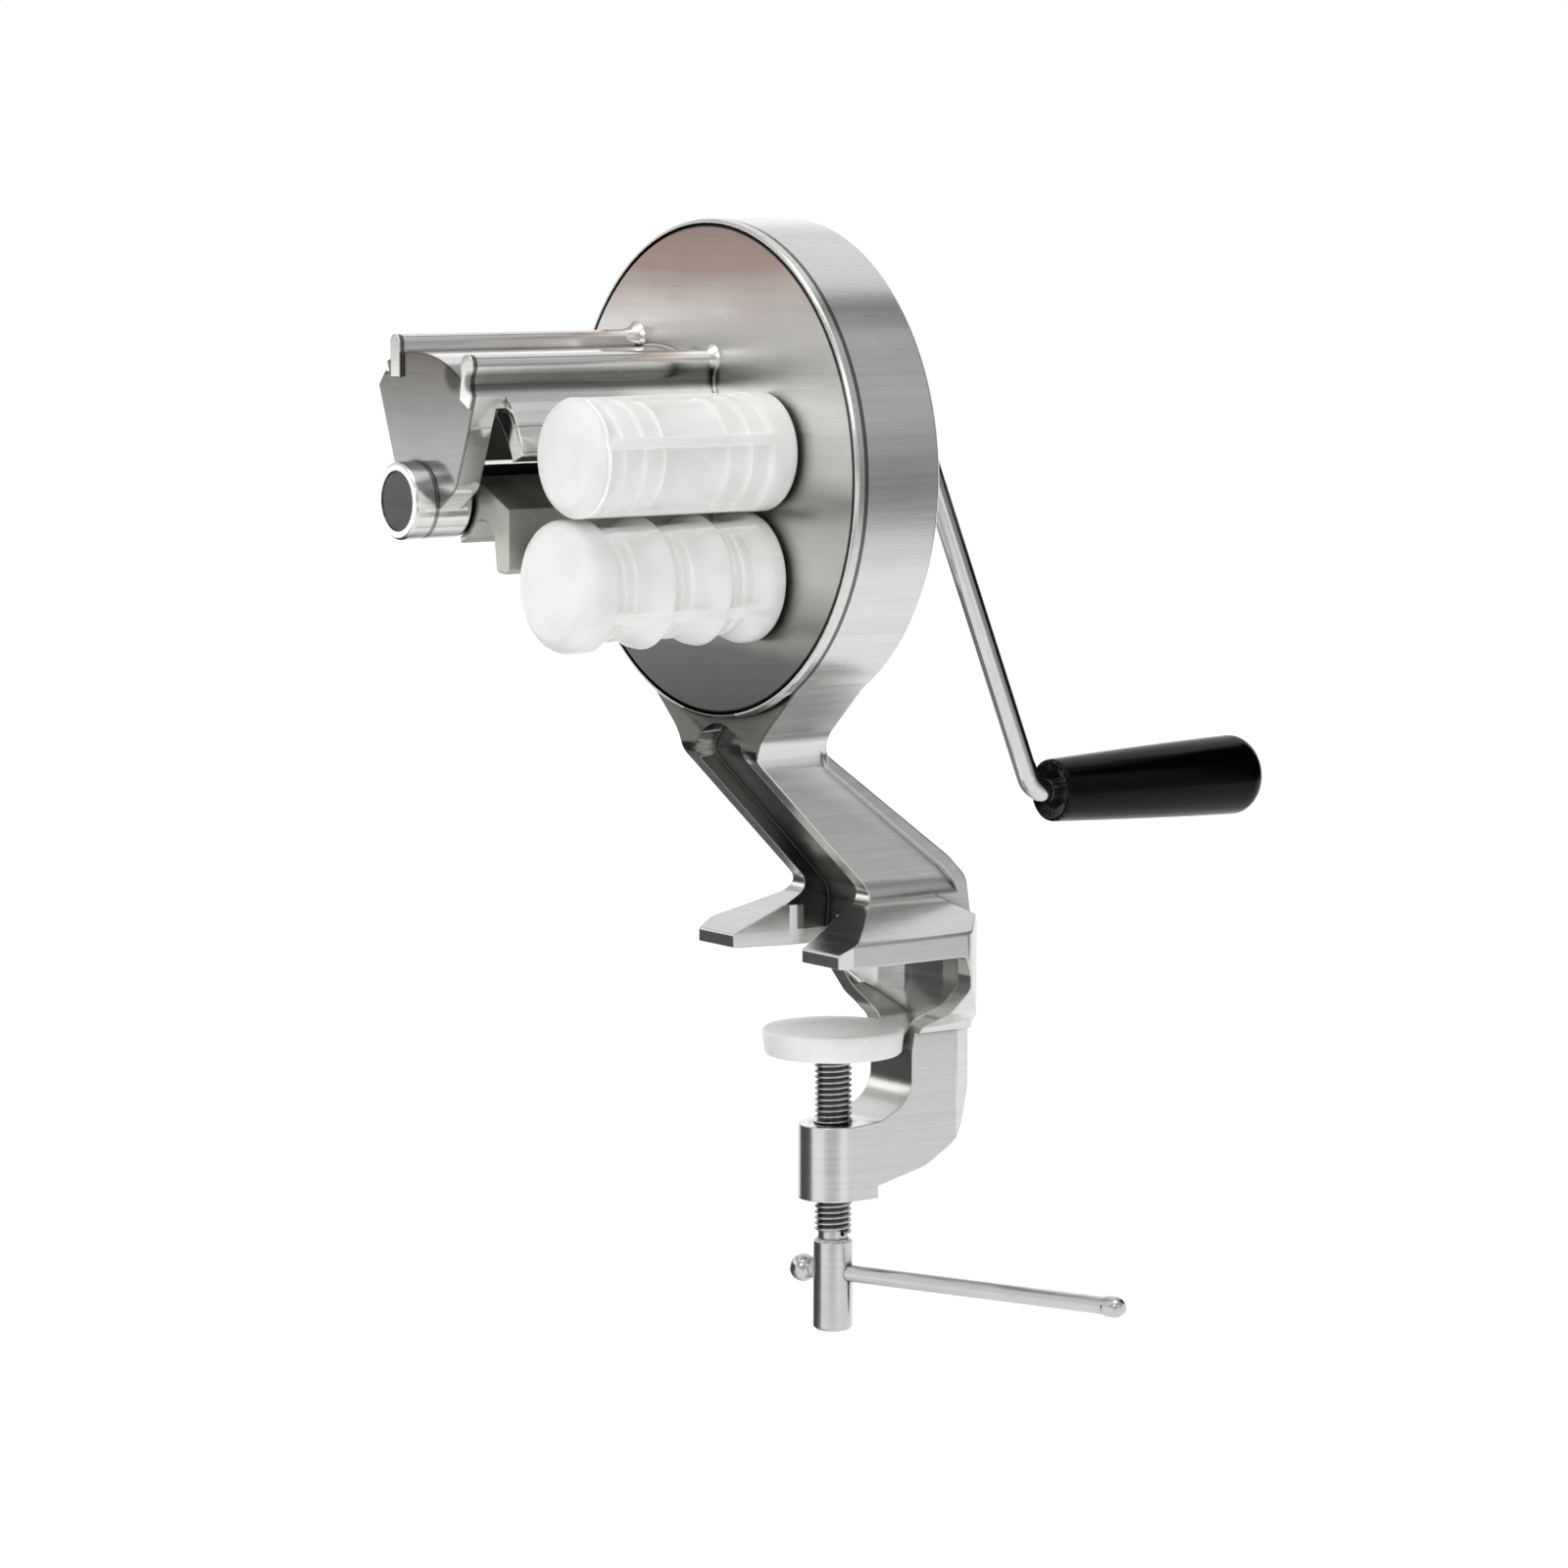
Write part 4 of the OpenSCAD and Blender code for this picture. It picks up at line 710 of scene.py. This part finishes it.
# %% Clamp screw
PITCH = 1.5 * MM
THREAD_DEPTH = 1.05 * MM
CREST_FROM, CREST_TO = 0.42, 0.58    # where the flat crest lies, in shares of the pitch
CORE_SHARE = 0.98          # the core reaches a little past the thread's root, so that no gap shows
PIN_RADIUS, PIN_LENGTH, PIN_OVERLAP = 3 * MM, 3.5 * MM, 1 * MM


def round_bar(radius, bottom, top, y, vertices):
    """Adds a round bar along Z, with its place in its mesh."""
    deselect_all()
    bpy.ops.mesh.primitive_cylinder_add(vertices=vertices, radius=radius, depth=top - bottom,
                                        location=(0, y, (top + bottom) / 2))
    bpy.ops.object.transform_apply(location=True, rotation=True, scale=True)
    return bpy.context.object


def clamp_screw():
    """Models the threaded screw in the place of its plain solid."""
    box_low, box_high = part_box("clamp_screw")
    outer = (box_high[0] - box_low[0]) / 2
    root = outer - THREAD_DEPTH
    axis_y = (box_high[1] + box_low[1]) / 2
    bottom, pin_top = box_low[2], box_high[2]
    thread_top = pin_top - PIN_LENGTH
    # one tooth: from the root up a flank to the crest, and down the other flank
    tooth = drawn_line("clamp_screw_threaded", [(root, 0, 0), (outer, 0, CREST_FROM * PITCH),
                                                (outer, 0, CREST_TO * PITCH), (root, 0, PITCH)])
    climb = tooth.modifiers.new("climb", "SCREW")
    climb.axis = "Z"
    climb.screw_offset = PITCH
    climb.iterations = int((thread_top - bottom) / PITCH) - 1
    climb.steps = climb.render_steps = 40
    climb.use_merge_vertices = True
    climb.merge_threshold = WELD
    climb.use_smooth_shade = False
    bpy.ops.object.modifier_apply(modifier="climb")
    edit(tooth)
    bpy.ops.mesh.normals_make_consistent(inside=False)
    bpy.ops.transform.translate(value=(0, axis_y, bottom + PITCH / 2))
    bpy.ops.object.mode_set(mode="OBJECT")
    core = round_bar(outer - THREAD_DEPTH * CORE_SHARE, bottom, thread_top, axis_y, 64)
    pin = round_bar(PIN_RADIUS, thread_top - PIN_OVERLAP, pin_top, axis_y, 48)
    whole = joined([tooth, core, pin], "clamp_screw_threaded", screw_steel)
    bpy.ops.object.shade_smooth_by_angle(angle=math.radians(30))
    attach(whole, body_names["clamp_screw"])
    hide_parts("clamp_screw")
    return whole


threaded_screw = clamp_screw()
print("thread faces:", len(threaded_screw.data.polygons))

# %% [markdown]
# ## Beads and sweeps
# Two shapes come back on the castings. A rounded bead is a curve through chosen points that is given a
# thickness and turned into a mesh. A flare or a screw head is a short profile swept round an axis.

# %% Beads and sweeps
def bead(name, points, radius):
    """Lays a round bead along points given as (x, z) on the cover's face."""
    curve = bpy.data.curves.new(name, "CURVE")
    curve.dimensions = "3D"
    curve.bevel_depth = radius
    curve.bevel_resolution = 5
    curve.use_fill_caps = True
    line = curve.splines.new("NURBS")
    line.points.add(len(points) - 1)
    for corner, (x, z) in zip(line.points, points):
        corner.co = (x, COVER_Y, z, 1.0)
    line.use_endpoint_u = True
    line.order_u = 3
    piece = bpy.data.objects.new(name, curve)
    bpy.context.scene.collection.objects.link(piece)
    pick(piece)
    bpy.ops.object.convert(target="MESH")
    return bpy.context.object


def swept(name, profile, x, z):
    """Sweeps a profile of (radius, y) round an axis along Y through (x, z)."""
    piece = drawn_line(name, [(r, y, 0) for r, y in profile])
    sweep = piece.modifiers.new("turn", "SCREW")
    sweep.axis = "Y"
    sweep.steps = sweep.render_steps = 40
    sweep.use_merge_vertices = True
    sweep.merge_threshold = WELD
    bpy.ops.object.modifier_apply(modifier="turn")
    edit(piece)
    bpy.ops.mesh.remove_doubles(threshold=WELD)
    bpy.ops.mesh.normals_make_consistent(inside=False)
    bpy.ops.transform.translate(value=(x, 0, z))
    bpy.ops.object.mode_set(mode="OBJECT")
    return piece


def fixed_to(solid, pieces, name, material):
    """Joins pieces into one that rides on the body of a solid."""
    whole = joined(pieces, name, material)
    bpy.ops.object.shade_smooth_by_angle(angle=math.radians(50))
    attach(whole, body_names[solid])
    return whole


print("beads lie on the cover at", round(COVER_Y / MM), "mm")

# %% [markdown]
# ## Roots of the hood
# The hood was cast in one with the cover, so a rounded bead of metal runs where the two meet: over the roof
# from rail to rail and down the hollow under the right rail. Each rail flares as it reaches the cover, and a
# thin filler lets the hollow's foot run out into the skirt without a step.

# %% Roots of the hood
ROOF_X, ROOF_Z, ROOF_RADIUS = -24.04 * MM, 120.2 * MM, 37 * MM    # the roof is round about the cutter's axis
RAILS = [(-32.54 * MM, 159.4 * MM), (1.16 * MM, 154.6 * MM)]      # (x, z) of the left and the right rail
RAIL_RADIUS = 1.9 * MM
ROOF_ANGLES = range(98, 62, -6)    # where the roof's bead runs, in degrees, from left to right
ROOF_BEAD, HOLLOW_BEAD = 0.9 * MM, 0.8 * MM
# a flare, as mm outside the rail's radius and mm before the cover
FLARE = [(-0.3, 5.2), (0.15, 4.2), (0.5, 2.6), (1.1, 1.2), (1.7, 0.5), (2.4, -0.3)]
# both as (x, z) in mm: the line down the hollow, and the outline of the filler at its foot
HOLLOW_LINE = [(4.2, 153.6), (2.9, 151.2), (2.6, 148.4), (3.6, 145.4), (5.3, 142.4), (7.2, 139.2),
               (8.6, 135.2)]
FOOT = [(5.6, 141.6), (7.05, 139.35), (7.85, 137.4), (8.5, 135.4), (8.9, 133.2), (7.6, 133.2), (5.0, 138.6)]
FOOT_END, FOOT_LENGTH = -111.9 * MM, 61.8 * MM


def on_roof(degrees):
    """Gives a point of the hood's round roof by its angle."""
    angle = math.radians(degrees)
    return ROOF_X + ROOF_RADIUS * math.cos(angle), ROOF_Z + ROOF_RADIUS * math.sin(angle)


def foot_filler():
    """Extrudes the filler along the hollow's foot."""
    filler = drawn("foot", [(x * MM, FOOT_END, z * MM) for x, z in FOOT], faces=[tuple(range(len(FOOT)))])
    edit(filler)
    bpy.ops.mesh.extrude_region_move(TRANSFORM_OT_translate={"value": (0, FOOT_LENGTH, 0)})
    bpy.ops.mesh.select_all(action="SELECT")
    bpy.ops.mesh.normals_make_consistent(inside=False)
    bpy.ops.object.mode_set(mode="OBJECT")
    return filler


roots = [bead("roof_root", [on_roof(degrees) for degrees in ROOF_ANGLES], ROOF_BEAD),
         bead("hollow_root", [(x * MM, z * MM) for x, z in HOLLOW_LINE], HOLLOW_BEAD)]
flare = [(RAIL_RADIUS + wider * MM, COVER_Y - before * MM) for wider, before in FLARE]
roots += [swept("flare", flare, x, z) for x, z in RAILS]
roots.append(foot_filler())
hood_roots = fixed_to("front_casting", roots, "hood_roots", cast_front)
print("hood roots:", len(hood_roots.data.polygons), "faces")

# %% [markdown]
# ## Case screws
# Three slotted screws come through the back of the case into the posts inside it. Each is a domed profile
# swept round, with its slot cut by a Boolean, which leaves sharp walls that an inset in the dome would not.

# %% Case screws
BACK_Y = -23.8 * MM        # back of the case
SCREW_RING = 52.5 * MM     # the screws stand this far from the case's axis
SCREW_ANGLES = (100, 200, 280)
SLOT_SIZE, SLOT_HEIGHT = (8 * MM, 1.4 * MM, 0.8 * MM), 1.6 * MM    # the height is of its middle
# the head's profile, as radius and height above the back, both in mm
SCREW_DOME = [(0, 1.7), (1.3, 1.6), (2.5, 1.1), (3.0, 0.4), (3.0, -0.3), (0, -0.3)]


def slotted_screw(degrees):
    """Models one screw head on the back of the case, at an angle round the case."""
    angle = math.radians(degrees)
    x, z = SCREW_RING * math.cos(angle), CASE_HEIGHT + SCREW_RING * math.sin(angle)
    head = swept("screw_head_dome", [(r * MM, BACK_Y + above * MM) for r, above in SCREW_DOME], x, z)
    bpy.ops.mesh.primitive_cube_add(size=1, location=(x, BACK_Y + SLOT_HEIGHT, z), rotation=(0, angle, 0),
                                    scale=SLOT_SIZE)
    cut_away(head, bpy.context.object)
    return head


heads = [slotted_screw(degrees) for degrees in SCREW_ANGLES]
case_screws = fixed_to("main_casting", heads, "case_screws", dark_steel)
print("case screws:", len(case_screws.data.polygons), "faces")

# %% [markdown]
# ## The white room
# The picture has a pure white ground with almost no shadow, but metal in an even white room looks like gray
# paint. So the world is white only where the camera sees it. Elsewhere it is gray with softly darker and
# brighter parts, each made from the angle between the way a ray goes and a chosen direction.

# %% The white room
ROOM_LEVEL = 0.88
# bands that run past the machine along Y: angle up from X, half width, soft half width, brightness
BANDS = [[45, 22, 34, 0.72], [79, 5, 14, 0.26]]
# round zones: direction, angle, soft angle, brightness
ZONES = [[(0.35, 0.93, 0.10), 28, 46, 0.05], [(-0.85, 0.52, 0.10), 10, 26, 1.15],
         [(-0.80, -0.55, 0.35), 20, 45, 0.55], [(0.78, -0.60, -0.05), 18, 42, 0.42]]
WHITE = (1.0, 1.0, 1.0, 1.0)


def lobe(tree, vector, towards, inner, outer):
    """Gives 1 within an angle in degrees of a direction, falling to 0 at a wider angle."""
    cosine = add(tree, "VectorMath", {0: vector, 1: Vector(towards).normalized()}, operation="DOT_PRODUCT")
    return add(tree, "MapRange", {"Value": cosine.outputs["Value"], "From Min": math.cos(math.radians(outer)),
                                  "From Max": math.cos(math.radians(inner))},
               interpolation_type="SMOOTHSTEP").outputs["Result"]


def toned(tree, mask, level, brightness):
    """Moves a level towards a brightness where a mask is 1."""
    mixed = add(tree, "Mix", {"Factor": mask, "A": level, "B": brightness}, data_type="FLOAT")
    return mixed.outputs["Result"]


world = bpy.data.worlds.new("white_room")
bpy.context.scene.world = world
world.use_nodes = True
world.node_tree.nodes.clear()
sky = world.node_tree
direction = add(sky, "TexCoord").outputs["Generated"]
flat = add(sky, "VectorMath", {0: direction, 1: (1.0, 0.0, 1.0)}, operation="MULTIPLY")
roll = add(sky, "VectorMath", {0: flat.outputs["Vector"]}, operation="NORMALIZE").outputs["Vector"]
level = ROOM_LEVEL
for angle, inner, outer, brightness in BANDS:
    towards = (math.cos(math.radians(angle)), 0, math.sin(math.radians(angle)))
    level = toned(sky, lobe(sky, roll, towards, inner, outer), level, brightness)
for towards, inner, outer, brightness in ZONES:
    level = toned(sky, lobe(sky, direction, towards, inner, outer), level, brightness)
room = add(sky, "Background", {"Color": WHITE, "Strength": level})
white = add(sky, "Background", {"Color": WHITE, "Strength": 1.0})
seen = add(sky, "MixShader", {0: add(sky, "LightPath").outputs["Is Camera Ray"],
                              1: room.outputs["Background"], 2: white.outputs["Background"]})
add(sky, "OutputWorld", {"Surface": seen.outputs["Shader"]})
print("the room has", len(BANDS), "bands and", len(ZONES), "zones")

# %% [markdown]
# ## Floor
# The machine is shown clamped to nothing, so the floor lies well under it. It glows softly and stays white.
# Reflections see it bright too, with a dark patch on its left and a gray one under the camera.

# %% Floor
FLOOR_DROP, FLOOR_SIZE, FLOOR_GLOW = 0.10, 12, 0.55
# centre on the floor, radius, soft radius, brightness
PATCHES = [[(-0.33, -0.08, 0), 0.14, 0.36, 0.10], [(0.80, -0.66, 0), 0.30, 0.62, 0.40]]
deselect_all()
bpy.ops.mesh.primitive_plane_add(size=FLOOR_SIZE, location=(0, 0, low[2] - FLOOR_DROP))
floor = bpy.context.object
floor.name = "white_floor"
floor_material, tree, output = new_material("white_floor")
matt = add(tree, "BsdfDiffuse", {"Color": (0.9, 0.9, 0.9, 1.0)})
shine = add(tree, "Emission", {"Strength": FLOOR_GLOW})
to_camera = add(tree, "AddShader", {0: matt.outputs["BSDF"], 1: shine.outputs["Emission"]})
ground = add(tree, "TexCoord").outputs["Object"]
glow = 1.0
for centre, inner, outer, brightness in PATCHES:
    away = add(tree, "VectorMath", {0: ground, 1: centre}, operation="DISTANCE")
    patch = add(tree, "MapRange", {"Value": away.outputs["Value"], "From Min": outer, "From Max": inner},
                interpolation_type="SMOOTHSTEP")
    glow = toned(tree, patch.outputs["Result"], glow, brightness)
reflected = add(tree, "Emission", {"Strength": glow})
both = add(tree, "MixShader", {0: add(tree, "LightPath").outputs["Is Camera Ray"],
                               1: reflected.outputs["Emission"], 2: to_camera.outputs["Shader"]})
tree.links.new(both.outputs["Shader"], output.inputs["Surface"])
floor.data.materials.append(floor_material)
floor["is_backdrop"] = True
print("floor at", round((low[2] - FLOOR_DROP) / MM), "mm")

# %% [markdown]
# ## Glowing cards
# Large cards give the metal something to reflect, as the paper boards in a photo studio do. A lamp would give
# only a spot where a board gives a whole band of light. A card glows in tones that change with height, and it
# fades out towards its edges, so that it leaves no hard line. The camera doesn't see it.

# %% Glowing cards
FADE_FROM, FADE_TO = 0.32, 0.5    # shares of the card's width and height, off its centre


def card_finish(name, strength, tones):
    """Makes a card's glow from tones of [height, sRGB hex]."""
    material, tree, output = new_material(name)
    height = add(tree, "SeparateXYZ", {0: add(tree, "TexCoord").outputs["Object"]}).outputs["Z"]
    glow = add(tree, "Emission", {"Color": ramp_of(tree, height, tones), "Strength": strength})
    across = add(tree, "SeparateXYZ", {0: add(tree, "TexCoord").outputs["UV"]})
    fades = []
    for axis in "XY":
        off_centre = add(tree, "Math", {0: across.outputs[axis], 1: 0.5}, operation="SUBTRACT")
        far = add(tree, "Math", {0: off_centre.outputs["Value"]}, operation="ABSOLUTE")
        fades.append(add(tree, "MapRange", {"Value": far.outputs["Value"], "From Min": FADE_FROM,
                                            "From Max": FADE_TO, "To Min": 1.0, "To Max": 0.0},
                         interpolation_type="SMOOTHSTEP"))
    body = add(tree, "Math", {0: fades[0].outputs["Result"], 1: fades[1].outputs["Result"]},
               operation="MULTIPLY")
    clear = add(tree, "BsdfTransparent")
    mix = add(tree, "MixShader", {0: body.outputs["Value"], 1: clear.outputs["BSDF"],
                                  2: glow.outputs["Emission"]})
    tree.links.new(mix.outputs["Shader"], output.inputs["Surface"])
    return material


def card(name, centre, facing, width, height, strength, tones):
    """Stands a glowing card at a place, with its face turned to a point, out of the camera's sight."""
    deselect_all()
    bpy.ops.mesh.primitive_plane_add(size=1, location=(0, 0, 0))
    plane = bpy.context.object
    plane.name = name
    towards = (Vector(facing) - Vector(centre)).to_track_quat("Z", "Y")
    plane.data.transform(Matrix.LocRotScale(Vector(centre), towards, Vector((width, height, 1))))
    plane.data.materials.append(card_finish(name, strength, tones))
    plane.visible_camera = False
    plane.visible_shadow = False
    plane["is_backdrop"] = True
    return plane


print("cards fade over the outer", round((FADE_TO - FADE_FROM) * 100), "% at each side")

# %% [markdown]
# ## Where the cards stand
# The camera sees the disc at a slant, so the disc mirrors what stands close on the left: a card that is dark
# at its foot, bright in its middle and a brownish gray at its top. The rim, the arm's side and the spine
# mirror what stands behind on the right: a tall card, bright at its foot and gray from the case up. A small
# dark card with one gray line draws the dark core of the bent rod. Two white ones, in front and above, light
# the nylon, the grip and the upper edges.

# %% Where the cards stand
middle = (low + high) / 2
cards = [
    card("left_card", (-0.27, -0.235, 0.05), (0.0, -0.04, 0.09), 0.5, 0.62, 1.5,
         [[-0.26, "393939"], [0.004, "404040"], [0.030, "f0f0ee"], [0.126, "ffffff"], [0.150, "afacaa"],
          [0.36, "9d9a98"]]),
    card("back_card", (0.40, 0.26, 0.0), (0.035, -0.0025, 0.0), 0.50, 1.3, 1.45,
         [[-0.60, "d0d0d0"], [-0.12, "c6c6c6"], [-0.070, "bebebe"], [-0.040, "989898"], [0.005, "868687"],
          [0.055, "79797a"], [0.13, "7c7c7e"], [0.32, "9f9fa1"], [0.60, "a0a0a2"]]),
    card("rod_card", (0.075, 0.240, 0.130), (0.02, 0.150, 0.11), 0.26, 0.30, 1.0,
         [[-0.05, "0a0a0a"], [0.128, "0a0a0a"], [0.134, "6c6c6c"], [0.140, "0a0a0a"], [0.28, "0a0a0a"]]),
    card("front_card", (1.1, -1.6, 1.0), middle, 0.9, 0.9, 2.6, [[0.5, "ffffff"], [1.5, "ffffff"]]),
    card("top_card", (0.15, -0.35, 1.15), middle, 0.9, 0.9, 2.4, [[0.9, "ffffff"], [1.6, "ffffff"]])]
print("cards:", ", ".join(plane.name for plane in cards))

# %% [markdown]
# ## Size
# The dressed machine should be as large as its solids, so its size is measured again, leaving out the floor
# and the cards.

# %% Size
low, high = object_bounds()
